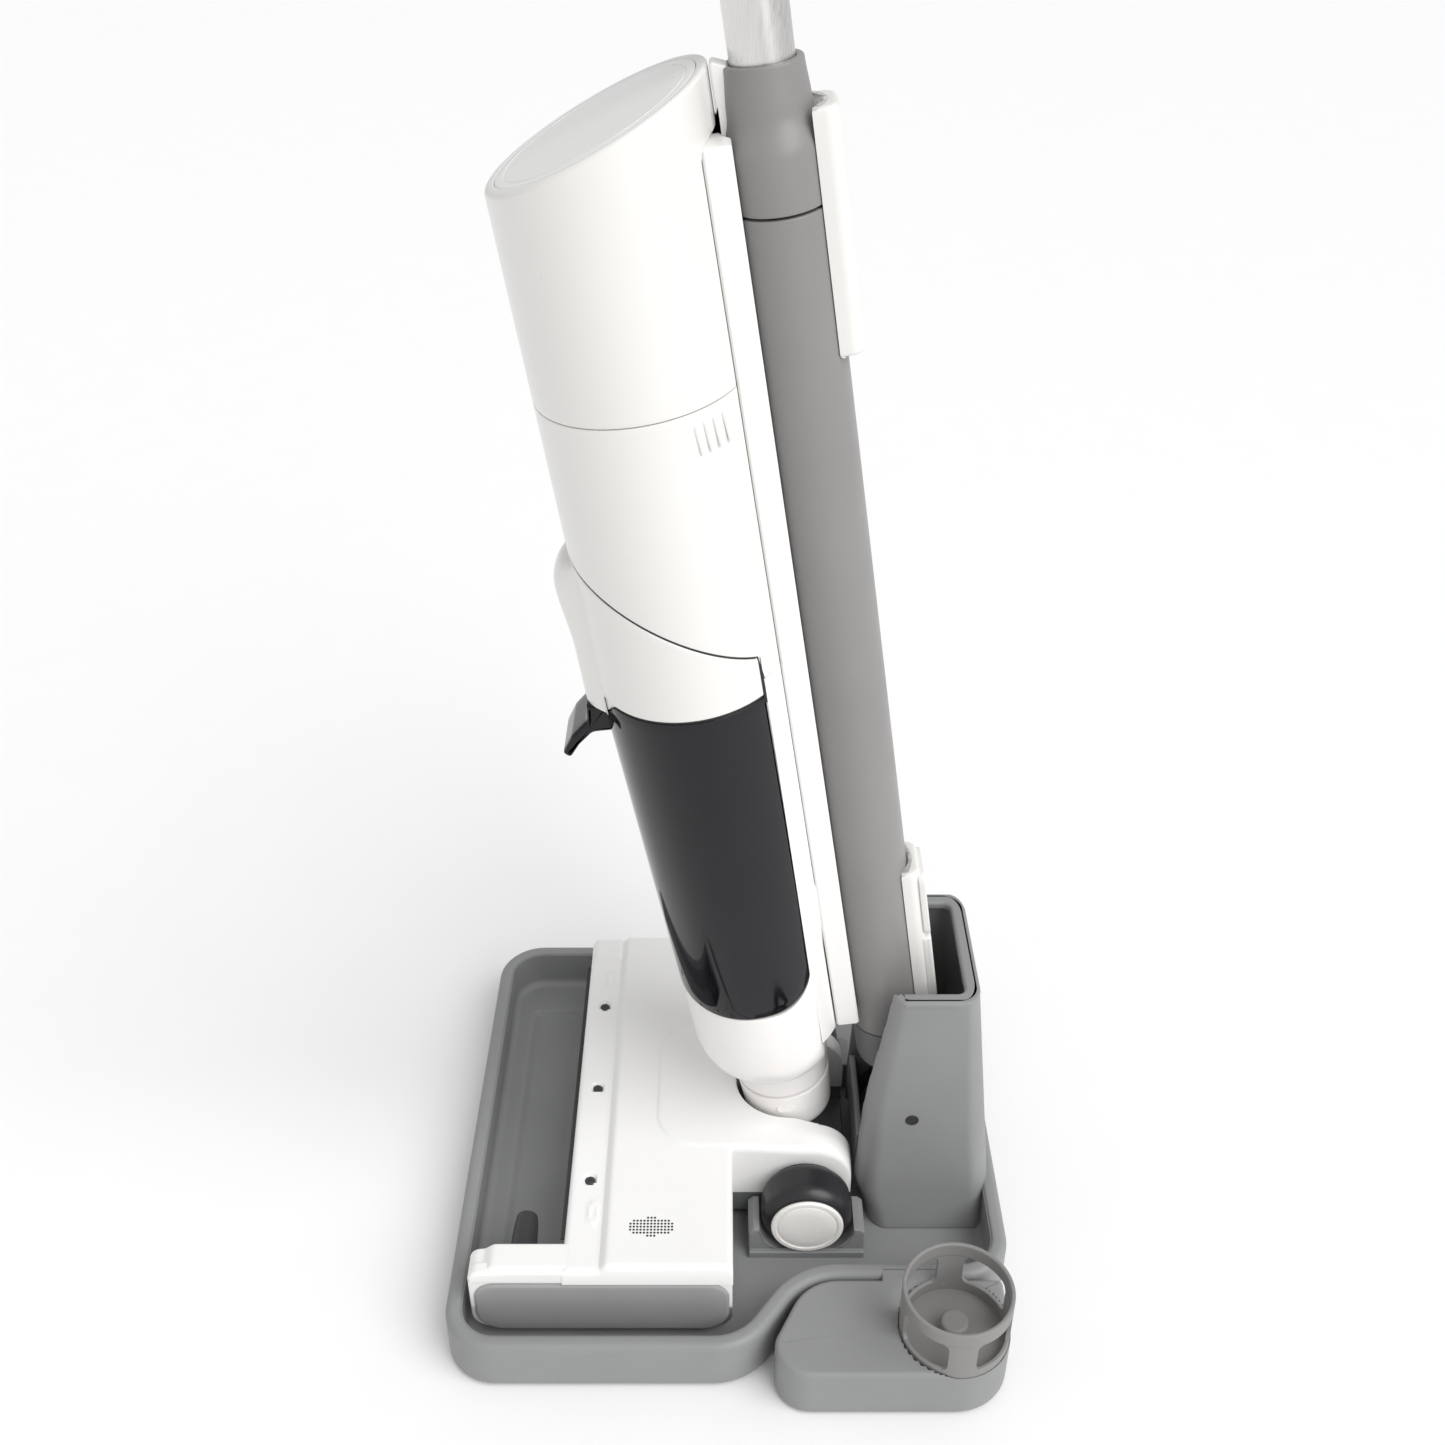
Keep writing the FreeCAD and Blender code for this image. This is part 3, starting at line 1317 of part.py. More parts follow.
def make_clean_tank():
    save("clean_tank", lean(clean_tank()))
    save("clean_tank_latch", lean(tank_latch()))
    save("clean_tank_grip", lean(tank_grip()))


make_dock()
make_holder()
make_head()
make_wheels()
make_neck()
make_body()
make_handle()
make_recovery_tank()
make_clean_tank()
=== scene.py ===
"""Visual model of a wet dry floor scrubber that stands on its cleaning and charging dock.

Shapes are worked out in millimetres and go into their meshes in metres. +X is the machine's left, -Y its
front and +Z up. Pieces above the neck are drawn upright in the body's own frame and then leaned back about
the pivot.
"""

import json
import math

import bmesh
import bpy
import numpy as np
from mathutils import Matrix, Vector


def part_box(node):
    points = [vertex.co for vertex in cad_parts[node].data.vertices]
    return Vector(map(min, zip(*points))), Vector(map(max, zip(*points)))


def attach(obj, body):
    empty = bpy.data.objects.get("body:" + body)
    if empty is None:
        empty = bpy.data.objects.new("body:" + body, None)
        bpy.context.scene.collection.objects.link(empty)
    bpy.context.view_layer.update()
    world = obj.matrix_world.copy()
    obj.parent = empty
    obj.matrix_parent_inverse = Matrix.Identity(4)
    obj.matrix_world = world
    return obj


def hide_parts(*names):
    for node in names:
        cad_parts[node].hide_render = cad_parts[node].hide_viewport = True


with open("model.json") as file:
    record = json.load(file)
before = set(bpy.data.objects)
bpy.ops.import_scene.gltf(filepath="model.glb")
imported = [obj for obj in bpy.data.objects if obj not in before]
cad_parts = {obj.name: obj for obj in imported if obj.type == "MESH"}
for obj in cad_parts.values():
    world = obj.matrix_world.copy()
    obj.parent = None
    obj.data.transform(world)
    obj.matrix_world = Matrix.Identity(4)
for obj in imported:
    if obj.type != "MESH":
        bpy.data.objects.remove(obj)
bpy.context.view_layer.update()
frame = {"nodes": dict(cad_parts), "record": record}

bl_info = {
    "name": "Wet dry floor scrubber",
    "version": (1, 0, 0),
    "blender": (4, 5, 0),
    "location": "View3D > Sidebar > Scrubber",
    "description": "Builds the shells, tanks, wheels and dock of a wet dry floor scrubber round its frame",
    "category": "Object",
}

MM = 0.001

# ---------------------------------------------------------------- driving sizes, in millimetres


def extent(node):
    """Lowest and highest corner of a frame node, in millimetres."""
    low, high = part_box(node)
    return np.array(low) / MM, np.array(high) / MM


TRAY_LOW, TRAY_HIGH = extent("dock_tray")
HOLDER_LOW, HOLDER_HIGH = extent("holder_base")
RING_LOW, RING_HIGH = extent("ring_basket")
TOWER_HIGH = extent("dock_tower")[1]
COVER_LOW = extent("head_cover")[0]
ARM_LOW, ARM_HIGH = extent("drive_arm")
PLATE_LOW, PLATE_HIGH = extent("end_plate_left")
TYRE_LOW, TYRE_HIGH = extent("left_tyre")

TRAY_FLOOR = 7.0
TRAY_CORNER = 30.0
RIM = 9.0
NOTCH_X = 119.0
NOTCH_Y = 48.6
NOTCH_SHOULDER_Y = 14.6
NOTCH_BEND = 38.0
HOLDER_CORNER = 32.0
HEAD_END = 136.0
STRIP_REAR = -67.0
STRIP_TOP = 66.0
TAIL_HALF_W = 53.0
ROLLER_Y = -117.0
ROLLER_Z = 42.0

LEAN = math.radians(8.7)
PIVOT_Y = 52.0
PIVOT_Z = 46.0
NECK_Y = -8.0
BODY_Y = -14.0
BODY_HALF_W = 61.0
BODY_HALF_D = 52.0
BACK_Y = 30.7
TANK_FLOOR_Z = 139.5
TANK_HEEL_R = 22.0
COLLAR_SEAM_Z = 66.0
TANK_BACK_Y = 21.0
TANK_TOP_Z = 345.0
LID_FRONT_Z = 424.0
LID_REAR_Z = 368.0
LID_GRIP_Z = 336.0
SPOUT_Z = 318.0
BAY_TOP_Z = 354.0
CAN_SEAM_Z = 502.5
CAN_FRONT_Z = 600.0
CAN_REAR_Z = 636.0
COLUMN_Y = 61.0
COLUMN_HALF_W = 25.0
COLUMN_HALF_D = 22.0
SPINE_FOOT_Z = 100.0
COLUMN_Z0 = 81.0
COLUMN_Z1 = 571.5
SLEEVE_TOP = 936.0
BODY_FRONT = BODY_Y - BODY_HALF_D


# ---------------------------------------------------------------- meshes


def lean(points):
    """Body-frame points turned back by the lean about the X axis and moved to the recline pivot."""
    x, y, z = points[..., 0], points[..., 1], points[..., 2]
    leaned_y = PIVOT_Y + y * math.cos(LEAN) - z * math.sin(LEAN)
    leaned_z = PIVOT_Z + y * math.sin(LEAN) + z * math.cos(LEAN)
    return np.stack([x, leaned_y, leaned_z], axis=-1)


def mirrored(points):
    """The same grid on the other side of the mid-plane."""
    return points * np.array([-1.0, 1.0, 1.0])


def quads(rows, columns, wrap_rows, wrap_columns):
    """Corner indices of the faces between neighbouring rows and columns of a grid."""
    r = np.arange(rows if wrap_rows else rows - 1)
    c = np.arange(columns if wrap_columns else columns - 1)
    r, c = (a.ravel() for a in np.meshgrid(r, c, indexing="ij"))
    r_next = (r + 1) % rows
    c_next = (c + 1) % columns
    return np.stack([r * columns + c, r_next * columns + c, r_next * columns + c_next, r * columns + c_next],
                    -1)


class Sheet:
    """Grid of points; either direction may close on itself, and keep may leave faces out."""

    def __init__(self, points, wrap_u=True, wrap_v=False, keep=None):
        self.points = np.asarray(points, float)
        rows, columns = self.points.shape[:2]
        self.faces = quads(rows, columns, wrap_u, wrap_v)
        if keep is not None:
            self.faces = self.faces[keep.ravel()]

    def placed(self, place):
        """The same faces with their points moved by place."""
        other = Sheet.__new__(Sheet)
        other.points = place(self.points)
        other.faces = self.faces
        return other

    def mesh(self):
        """Blender mesh in metres with its poles and seams merged and its faces turned outwards."""
        corners = self.points.reshape(-1, 3)
        a, b, c, d = (corners[self.faces[:, i]] for i in range(4))
        volume = np.einsum("ij,ij->i", a, np.cross(b, c) + np.cross(c, d)).sum()
        faces = self.faces[:, ::-1] if volume < 0 else self.faces
        mesh = bpy.data.meshes.new("sheet")
        mesh.from_pydata((corners * MM).tolist(), [], faces.tolist())
        soft = bmesh.new()
        soft.from_mesh(mesh)
        bmesh.ops.remove_doubles(soft, verts=soft.verts, dist=2e-6)
        bmesh.ops.dissolve_degenerate(soft, edges=soft.edges, dist=1e-7)
        soft.to_mesh(mesh)
        soft.free()
        return mesh


def piece(name, sheets, finish, body, replaces=(), crease=38.0, wall=0.0, bevel=0.0):
    """One object made of sheets, in the named finish, that rides on a body and stands for the nodes named."""
    whole = bmesh.new()
    for sheet in sheets:
        part = sheet.mesh()
        whole.from_mesh(part)
        bpy.data.meshes.remove(part)
    mesh = bpy.data.meshes.new(name)
    whole.to_mesh(mesh)
    whole.free()
    mesh.shade_smooth()
    mesh.set_sharp_from_angle(angle=math.radians(crease))
    mesh.materials.append(MATERIALS[finish])
    thing = bpy.data.objects.new(name, mesh)
    bpy.context.scene.collection.objects.link(thing)
    if wall:
        solid = thing.modifiers.new("wall", "SOLIDIFY")
        solid.thickness = wall * MM
        solid.offset = -1.0
    if bevel:
        edge = thing.modifiers.new("edge", "BEVEL")
        edge.width = bevel * MM
        edge.segments = 2
        edge.limit_method = "ANGLE"
        edge.angle_limit = math.radians(crease)
    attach(thing, body)
    if replaces:
        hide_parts(*replaces)
    return thing


# ---------------------------------------------------------------- outlines and profiles


def unit(vector):
    return vector / np.linalg.norm(vector)


def rounded(corners, spacing=4.0, closed=True):
    """Points along straight lines through corners (a, b, radius), each corner an arc of that radius."""
    runs = []
    last = len(corners) - 1
    for i, (a, b, radius) in enumerate(corners):
        here = np.array([a, b], float)
        if radius == 0 or (not closed and i in (0, last)):
            runs.append(here[None])
            continue
        back = unit(np.array(corners[i - 1][:2], float) - here)
        ahead = unit(np.array(corners[(i + 1) % len(corners)][:2], float) - here)
        half = 0.5 * math.acos(np.clip(back @ ahead, -1.0, 1.0))
        centre = here + unit(back + ahead) * radius / math.sin(half)
        start = here + back * radius / math.tan(half) - centre
        turn = -back[0] * ahead[1] + back[1] * ahead[0]
        steps = max(3, math.ceil((math.pi - 2 * half) / math.radians(7.0)))
        angle = np.linspace(0, math.pi - 2 * half, steps + 1) * np.sign(turn)
        arc_a = start[0] * np.cos(angle) - start[1] * np.sin(angle)
        arc_b = start[0] * np.sin(angle) + start[1] * np.cos(angle)
        runs.append(centre + np.stack([arc_a, arc_b], -1))
    line = np.vstack(runs)
    if closed:
        line = np.vstack([line, line[:1]])
    return divided(line, spacing, closed)


def divided(line, spacing, closed):
    """The same polyline with its long stretches split evenly."""
    gaps = np.diff(line, axis=0)
    lengths = np.linalg.norm(gaps, axis=1)
    real = lengths > 1e-6
    starts, gaps, lengths = line[:-1][real], gaps[real], lengths[real]
    counts = np.maximum(1, np.ceil(lengths / spacing)).astype(int)
    which = np.repeat(np.arange(len(counts)), counts)
    first = np.repeat(np.cumsum(counts) - counts, counts)
    share = (np.arange(len(which)) - first) / counts[which]
    points = starts[which] + gaps[which] * share[:, None]
    return points if closed else np.vstack([points, line[-1:]])


def even(line, count):
    """count points at even distances along an open polyline."""
    along = np.concatenate([[0.0], np.cumsum(np.linalg.norm(np.diff(line, axis=0), axis=1))])
    at = np.linspace(0, along[-1], count)
    return np.stack([np.interp(at, along, line[:, i]) for i in range(line.shape[1])], -1)


def rise(level0, level1, inset, dz0=0.0, dz1=0.0, count=8, share=1.0):
    """Profile up a wall: rows of (level, height offset, inset, share of the outline)."""
    part = np.linspace(0, 1, count + 1)
    fixed = np.ones(count + 1)
    return np.stack([level0 + (level1 - level0) * part, dz0 + (dz1 - dz0) * part, inset * fixed,
                     share * fixed], -1)


def bend(level, inset0, dz0, inset1, dz1, upright, count=6):
    """Profile round a quarter ellipse that leaves its start upright or flat."""
    angle = np.linspace(0, math.pi / 2, count + 1)
    slow, fast = 1 - np.cos(angle), np.sin(angle)
    across, up = (slow, fast) if upright else (fast, slow)
    fixed = np.ones(count + 1)
    return np.stack([level * fixed, dz0 + (dz1 - dz0) * up, inset0 + (inset1 - inset0) * across, fixed], -1)


def cap(level, dz, inset, share0, share1, count=6):
    """Profile across a closed end: the outline shrinks from one share of its size to the other."""
    fixed = np.ones(count + 1)
    return np.stack([level * fixed, dz * fixed, inset * fixed, np.linspace(share0, share1, count + 1)], -1)


def skin(section, heights, profile, count, centre=(0.0, 0.0)):
    """Surface (u, v): the section's outline at u, drawn in by the profile's inset at v and shrunk towards the
    centre by its share, at the profile's height there. heights are functions of (x, y) that the level
    picks."""
    profile = profile[np.concatenate([[True], np.abs(np.diff(profile, axis=0)).max(axis=1) > 1e-6])]
    level, dz, inset, share = profile.T
    u = np.arange(count)[:, None] / count

    def at(x, y):
        z = np.zeros(np.broadcast(x, y).shape)
        if len(heights) == 1:
            return z + heights[0](x, y) + dz
        low = np.clip(np.floor(level + 1e-9).astype(int), 0, len(heights) - 2)
        for i in range(len(heights) - 1):
            part = np.where(low == i, level - i, 0.0)
            value = heights[i](x, y) * (1 - part) + heights[i + 1](x, y) * part
            z = np.where(low == i, value, z)
        return z + dz

    guess_x, guess_y = section(u, np.zeros((count, len(level))), inset)
    z = at(guess_x, guess_y)
    x, y = section(u, z, inset)
    x = centre[0] + (x - centre[0]) * share
    y = centre[1] + (y - centre[1]) * share
    return np.stack([x, y, at(x, y)], axis=-1)


def flat(z):
    return lambda x, y: z + 0.0 * x


def drawn(points):
    """Section that follows a closed outline, drawn in along the outline's own normals."""
    along = np.roll(points, -1, axis=0) - np.roll(points, 1, axis=0)
    along /= np.linalg.norm(along, axis=1)[:, None]
    area = np.sum(points[:, 0] * np.roll(points[:, 1], -1) - np.roll(points[:, 0], -1) * points[:, 1])
    outward = np.stack([along[:, 1], -along[:, 0]], -1) * np.sign(area)

    def section(u, z, inset):
        x = points[:, :1] - outward[:, :1] * inset
        y = points[:, 1:] - outward[:, 1:] * inset
        return x + 0 * z, y + 0 * z

    return section


def oval(half_w, half_d, y, back=None, front_share=0.8):
    """Elliptic section; back cuts it off flat behind. Sizes may be functions of height."""
    size = [value if callable(value) else (lambda z, v=value: v) for value in (half_w, half_d, y)]

    def section(u, z, inset):
        w, d, middle = (value(z) for value in size)
        w, d = w - inset, d - inset
        if back is None:
            angle = 2 * math.pi * u
            return w * np.sin(angle), middle - d * np.cos(angle)
        rear = np.minimum(back - inset, middle + d * 0.999)
        corner = np.arccos(-(rear - middle) / d)
        angle = corner * (2 * np.clip(u / front_share, 0, 1) - 1)
        chord = 1 - 2 * np.clip((u - front_share) / (1 - front_share), 0, 1)
        behind = u > front_share
        x = np.where(behind, w * np.sin(corner) * chord, w * np.sin(angle))
        return x, np.where(behind, rear, middle - d * np.cos(angle))

    return section


def wall(thickness, edge, levels=(0, 1), count=24):
    """Closed profile of an upright wall with its top and bottom edges rounded by edge."""
    low, high = levels
    t = thickness
    return np.vstack(
        [
            rise(low, high, 0, edge, -edge, count),
            bend(high, 0, -edge, edge, 0, True, 4),
            bend(high, t - edge, 0, t, -edge, False, 4),
            rise(high, low, t, -edge, edge, count),
            bend(low, t, edge, t - edge, 0, True, 4),
            bend(low, edge, 0, 0, edge, False, 4),
        ]
    )


def solid(edge_low, edge_high, count=6, caps=5):
    """Open profile of a closed block between level 0 and level 1, with its edges rounded."""
    return np.vstack(
        [
            cap(0, 0, edge_low, 0, 1, caps),
            bend(0, edge_low, 0, 0, edge_low, False),
            rise(0, 1, 0, edge_low, -edge_high, count),
            bend(1, 0, -edge_high, edge_high, 0, True),
            cap(1, 0, edge_high, 1, 0, caps),
        ]
    )


def turned_to_x(points):
    """Grid drawn as (y, z, x) put in its place."""
    return points[..., [2, 0, 1]]


def block(corners, low, high, edge=1.0, spacing=4.0, axis="z", centre=None, top_edge=None):
    """Rounded outline extruded between two heights along an axis, with rounded edges."""
    points = rounded(corners, spacing)
    middle = centre or tuple((points.min(axis=0) + points.max(axis=0)) / 2)
    profile = solid(edge, edge if top_edge is None else top_edge)
    grid = skin(drawn(points), [flat(low), flat(high)], profile, len(points), middle)
    return Sheet(turned_to_x(grid) if axis == "x" else grid)


def turned(outline, count=64, ripple=None):
    """Surface of revolution about +Z: outline is (radius, height); ripple(angle, height) scales the
    radius."""
    angle = np.arange(count)[:, None] * 2 * math.pi / count
    radius, height = outline[:, 0][None], outline[:, 1][None]
    if ripple is not None:
        radius = radius * ripple(angle, height)
    x = radius * np.cos(angle)
    y = radius * np.sin(angle)
    return np.stack([x, y, height + 0 * x], axis=-1)


def along_x(points, y, z, x=0.0):
    """Surface of revolution laid along the X axis at (y, z)."""
    return np.stack([x + points[..., 2], y + points[..., 0], z + points[..., 1]], axis=-1)


def shifted(points, x=0.0, y=0.0, z=0.0):
    return points + np.array([x, y, z])


def smooth(value, low, high):
    """0 below low, 1 above high, and an even S between."""
    part = np.clip((value - low) / (high - low), 0, 1)
    return part * part * (3 - 2 * part)


# ---------------------------------------------------------------- materials


class Finish:
    """Builds one node material: mottled colour, uneven roughness and a fine relief, all in object space."""

    def __init__(self, name, roughness, **inputs):
        self.material = bpy.data.materials.new(name)
        self.material.use_nodes = True
        self.nodes = self.material.node_tree.nodes
        self.links = self.material.node_tree.links
        self.shader = self.nodes["Principled BSDF"]
        self.shader.inputs["Roughness"].default_value = roughness
        self.roughness = roughness
        for key, value in inputs.items():
            self.shader.inputs[key].default_value = value
        self.place = self.nodes.new("ShaderNodeTexCoord").outputs["Object"]

    def mapped(self, scale=(1, 1, 1), turn=(0, 0, 0)):
        node = self.nodes.new("ShaderNodeMapping")
        node.inputs["Scale"].default_value = scale
        node.inputs["Rotation"].default_value = turn
        self.links.new(self.place, node.inputs["Vector"])
        return node.outputs["Vector"]

    def noise(self, size, detail=3.0, vector=None, rough=0.5):
        """Noise whose features are about size millimetres across."""
        node = self.nodes.new("ShaderNodeTexNoise")
        node.inputs["Scale"].default_value = 1 / (size * MM)
        node.inputs["Detail"].default_value = detail
        node.inputs["Roughness"].default_value = rough
        self.links.new(vector or self.place, node.inputs["Vector"])
        return node.outputs["Fac"]

    def ramp(self, source, stops):
        node = self.nodes.new("ShaderNodeValToRGB")
        self.links.new(source, node.inputs["Fac"])
        ramp = node.color_ramp
        ramp.elements[0].position, ramp.elements[0].color = stops[0][0], (*stops[0][1], 1)
        ramp.elements[1].position, ramp.elements[1].color = stops[-1][0], (*stops[-1][1], 1)
        for position, colour in stops[1:-1]:
            ramp.elements.new(position).color = (*colour, 1)
        return node.outputs["Color"]

    def colour(self, source, base, change):
        """Base colour that wanders a little lighter and darker."""
        low = tuple(c * (1 - change) for c in base)
        high = tuple(min(1.0, c * (1 + change)) for c in base)
        self.links.new(self.ramp(source, [(0.3, low), (0.5, base), (0.7, high)]),
                       self.shader.inputs["Base Color"])

    def sheen_of(self, source, spread):
        """Roughness that varies by spread either side of its value."""
        node = self.nodes.new("ShaderNodeMapRange")
        node.inputs["From Min"].default_value = 0.25
        node.inputs["From Max"].default_value = 0.75
        node.inputs["To Min"].default_value = max(0.02, self.roughness - spread)
        node.inputs["To Max"].default_value = min(1.0, self.roughness + spread)
        self.links.new(source, node.inputs["Value"])
        self.links.new(node.outputs["Result"], self.shader.inputs["Roughness"])

    def relief(self, source, depth, strength=1.0):
        """Bump of that depth in millimetres."""
        node = self.nodes.new("ShaderNodeBump")
        node.inputs["Distance"].default_value = depth * MM
        node.inputs["Strength"].default_value = strength
        self.links.new(source, node.inputs["Height"])
        self.links.new(node.outputs["Normal"], self.shader.inputs["Normal"])


def moulded(name, base, roughness, change=0.02, grain=0.5, depth=0.01, spread=0.05, **inputs):
    """Moulded plastic: broad tint wander, patchy gloss and a fine spark-eroded grain."""
    finish = Finish(name, roughness, **inputs)
    finish.colour(finish.noise(60.0, 4.0), base, change)
    finish.sheen_of(finish.noise(18.0, 5.0), spread)
    finish.relief(finish.noise(grain, 2.0), depth)
    return finish.material


def brushed(name, base, roughness, turn, stretch=(1, 1, 0.02), **inputs):
    """Metal drawn lengthwise: noise stretched along the piece."""
    finish = Finish(name, roughness, **{"Metallic": 1.0, **inputs})
    streaks = finish.noise(0.5, 4.0, finish.mapped(stretch, turn))
    finish.colour(streaks, base, 0.08)
    finish.sheen_of(streaks, 0.08)
    finish.relief(streaks, 0.004)
    return finish.material


def smoked(name, base, roughness, transmission):
    """Tinted clear plastic with faint flow lines and water-dulled patches."""
    finish = Finish(name, roughness, **{"Transmission Weight": transmission, "IOR": 1.42})
    finish.colour(finish.noise(45.0, 3.0), base, 0.15)
    finish.sheen_of(finish.noise(25.0, 4.0), 0.03)
    finish.relief(finish.noise(40.0, 2.0), 0.004)
    return finish.material


WHITE = (0.80, 0.79, 0.765)
HEAD_WHITE = (0.90, 0.895, 0.88)
PINKISH = (0.90, 0.875, 0.86)
DOCK_GREY = (0.262, 0.265, 0.266)
RING_GREY = (0.245, 0.24, 0.235)
COLUMN_GREY = (0.25, 0.243, 0.24)
DARK = (0.035, 0.035, 0.038)

MATERIALS = {}


# name: (base colour, roughness, colour change, grain size, grain depth, roughness spread, coat)
MOULDED = {
    "white_shell": (WHITE, 0.3, 0.008, 0.4, 0.002, 0.03, 0.25),
    "white_head": (HEAD_WHITE, 0.34, 0.008, 0.4, 0.002, 0.04, 0.2),
    "white_bowl": (PINKISH, 0.32, 0.02, 0.4, 0.004, 0.05, 0.2),
    "white_panel": ((0.86, 0.86, 0.85), 0.16, 0.01, 0.8, 0.002, 0.04, None),
    "white_cap": ((0.92, 0.90, 0.87), 0.3, 0.02, 0.5, 0.006, 0.05, None),
    "dock_grey": (DOCK_GREY, 0.5, 0.04, 0.7, 0.03, 0.07, None),
    "ring_grey": (RING_GREY, 0.5, 0.04, 0.6, 0.02, 0.06, None),
    "plate_grey": ((0.33, 0.325, 0.325), 0.42, 0.03, 0.6, 0.012, 0.06, None),
    "column_grey": (COLUMN_GREY, 0.4, 0.03, 0.6, 0.012, 0.06, None),
    "foot_grey": ((0.17, 0.175, 0.18), 0.45, 0.04, 0.6, 0.015, 0.06, None),
    "dark_plastic": (DARK, 0.4, 0.15, 0.5, 0.02, 0.08, None),
    "rubber": ((0.03, 0.03, 0.03), 0.75, 0.2, 0.3, 0.03, 0.1, None),
    "tyre": ((0.022, 0.021, 0.024), 0.36, 0.2, 0.35, 0.012, 0.08, None),
    "board_green": ((0.02, 0.16, 0.06), 0.35, 0.3, 1.2, 0.05, 0.05, None),
    "floor": ((0.93, 0.93, 0.93), 0.6, 0.004, 2.0, 0.01, 0.05, None),
}

# name: (base colour, roughness, turn of the grain, stretch of the grain)
BRUSHED = {
    "pole_aluminium": ((0.75, 0.74, 0.73), 0.32, (-LEAN, 0, 0), (1, 1, 0.02)),
    "steel": ((0.35, 0.35, 0.36), 0.35, (0, 0, 0), (1, 1, 1)),
    "contact_brass": ((0.8, 0.62, 0.3), 0.25, (0, 0, 0), (1, 1, 1)),
}


def make_materials():
    """One material for each finish on the machine and the dock."""
    for name, (*look, coat) in MOULDED.items():
        MATERIALS[name] = moulded(name, *look, **({"Coat Weight": coat} if coat else {}))
    for name, look in BRUSHED.items():
        MATERIALS[name] = brushed(name, *look)
    MATERIALS["smoked_tank"] = smoked("smoked_tank", (0.007, 0.006, 0.009), 0.06, 0.1)


def finish_nodes():
    """Every frame node takes the material of its slot in the record."""
    for part in frame["record"]["subparts"]:
        data = frame["nodes"][part["node"]].data
        data.materials.clear()
        data.materials.append(MATERIALS[part["material_slot"]])


# ---------------------------------------------------------------- dock


def tray_outline():
    """Outline of the tray, with the bay for the accessory holder cut out of its rear left corner."""
    half, front, rear = TRAY_HIGH[0], TRAY_LOW[1], TRAY_HIGH[1]
    return [
        (-half, front, TRAY_CORNER),
        (half, front, TRAY_CORNER),
        (half, NOTCH_SHOULDER_Y, NOTCH_BEND),
        (NOTCH_X, NOTCH_Y, NOTCH_BEND),
        (NOTCH_X, rear, TRAY_CORNER),
        (-half, rear, TRAY_CORNER),
    ]


def tray_floor(x, y):
    """Floor height: level, with a shallow trough along X under the roller."""
    trough = smooth(20.0 - np.abs(y - ROLLER_Y), 0, 7) * smooth(130.0 - np.abs(x), 0, 4)
    return TRAY_FLOOR - 3.0 * trough


def tray_sheets():
    """Round the outline the profile runs under the base, up the outer wall, over the rim and down to the
    floor."""
    points = rounded(tray_outline(), 3.0)
    profile = np.vstack(
        [
            cap(0, 0, 3.0, 0, 1, 4),
            bend(0, 3.0, 0, 0, 3.0, False),
            rise(0, 1, 0, 3.0, -4.5, 6),
            bend(1, 0, -4.5, 4.5, 0, True, 8),
            bend(1, 4.8, 0, RIM - 1.5, -0.2, False, 3),
            bend(1, RIM - 1.5, -0.2, RIM, -1.7, False, 4),
            rise(1, 2, RIM + 0.6, -1.7, 5.0, 6),
            bend(2, RIM + 0.6, 5.0, RIM + 5.6, 0, True),
            cap(2, 0, RIM + 5.6, 1, 0.35, 110),
            cap(2, 0, RIM + 5.6, 0.35, 0, 12),
        ]
    )
    heights = [flat(TRAY_LOW[2]), flat(TRAY_HIGH[2]), tray_floor]
    return [Sheet(skin(drawn(points), heights, profile, len(points), (-20.0, 0.0)))]


def cradle_sheets(side):
    """Two chamfered chocks joined by a low strip, hollowed to the wheel's circle, on one side of the
    machine."""
    x0, x1 = TYRE_LOW[0] + 1.0, TYRE_HIGH[0] - 1.0
    middle_y = (TYRE_LOW[1] + TYRE_HIGH[1]) / 2
    middle_z = (TYRE_LOW[2] + TYRE_HIGH[2]) / 2
    top, base = 29.0, TRAY_FLOOR - 1.0
    radius = (TYRE_HIGH[1] - TYRE_LOW[1]) / 2 + 2.0
    reach = 8.0 + radius - 2.0
    foot = np.arccos((middle_z - 10.0) / radius)
    rim = np.arccos((middle_z - top) / radius)
    sheets = []
    for way in (-1, 1):
        angle = np.linspace(foot, rim, 14)
        hollow = np.stack([radius * np.sin(angle), middle_z - radius * np.cos(angle)], -1)
        shape = np.vstack([[[6.0, base]], hollow, [[reach - 3.0, top], [reach, top - 3.0], [reach, base]]])
        shape[:, 0] = middle_y + way * shape[:, 0]
        shape = divided(np.vstack([shape, shape[:1]]), 3.0, True)
        grid = skin(drawn(shape), [flat(x0), flat(x1)], solid(0.8, 0.8), len(shape),
                    tuple(shape.mean(axis=0)))
        sheets.append(Sheet(turned_to_x(grid)))
    strip = [(middle_y - reach, base, 0), (middle_y + reach, base, 0), (middle_y + reach, 12.0, 1.5)]
    strip.append((middle_y - reach, 12.0, 1.5))
    sheets.append(block(strip, x1 - 1.0, x1 + 3.0, 0.8, axis="x"))
    if side < 0:
        return [sheet.placed(mirrored) for sheet in sheets]
    return sheets


TOWER_TOP_HALF = 48.0
TOWER_SILL = 60.0


def tower_size(z):
    """(half width, front, rear) of the tower at height z; it flares gently into the tray."""
    share = (z - TRAY_FLOOR) / (TOWER_HIGH[2] - TRAY_FLOOR)
    flare = 2.5 * np.clip(1 - (z - TRAY_FLOOR) / 34.0, 0, 1) ** 2
    half = 60.0 - 12.0 * share
    belly = 8.0 * smooth(share, 0.0, 0.18) * smooth(1.06 - share, 0.0, 0.62)
    return half, 90.0 + 8.0 * share - 1.5 - belly, 168.0 - 20.0 * share, flare


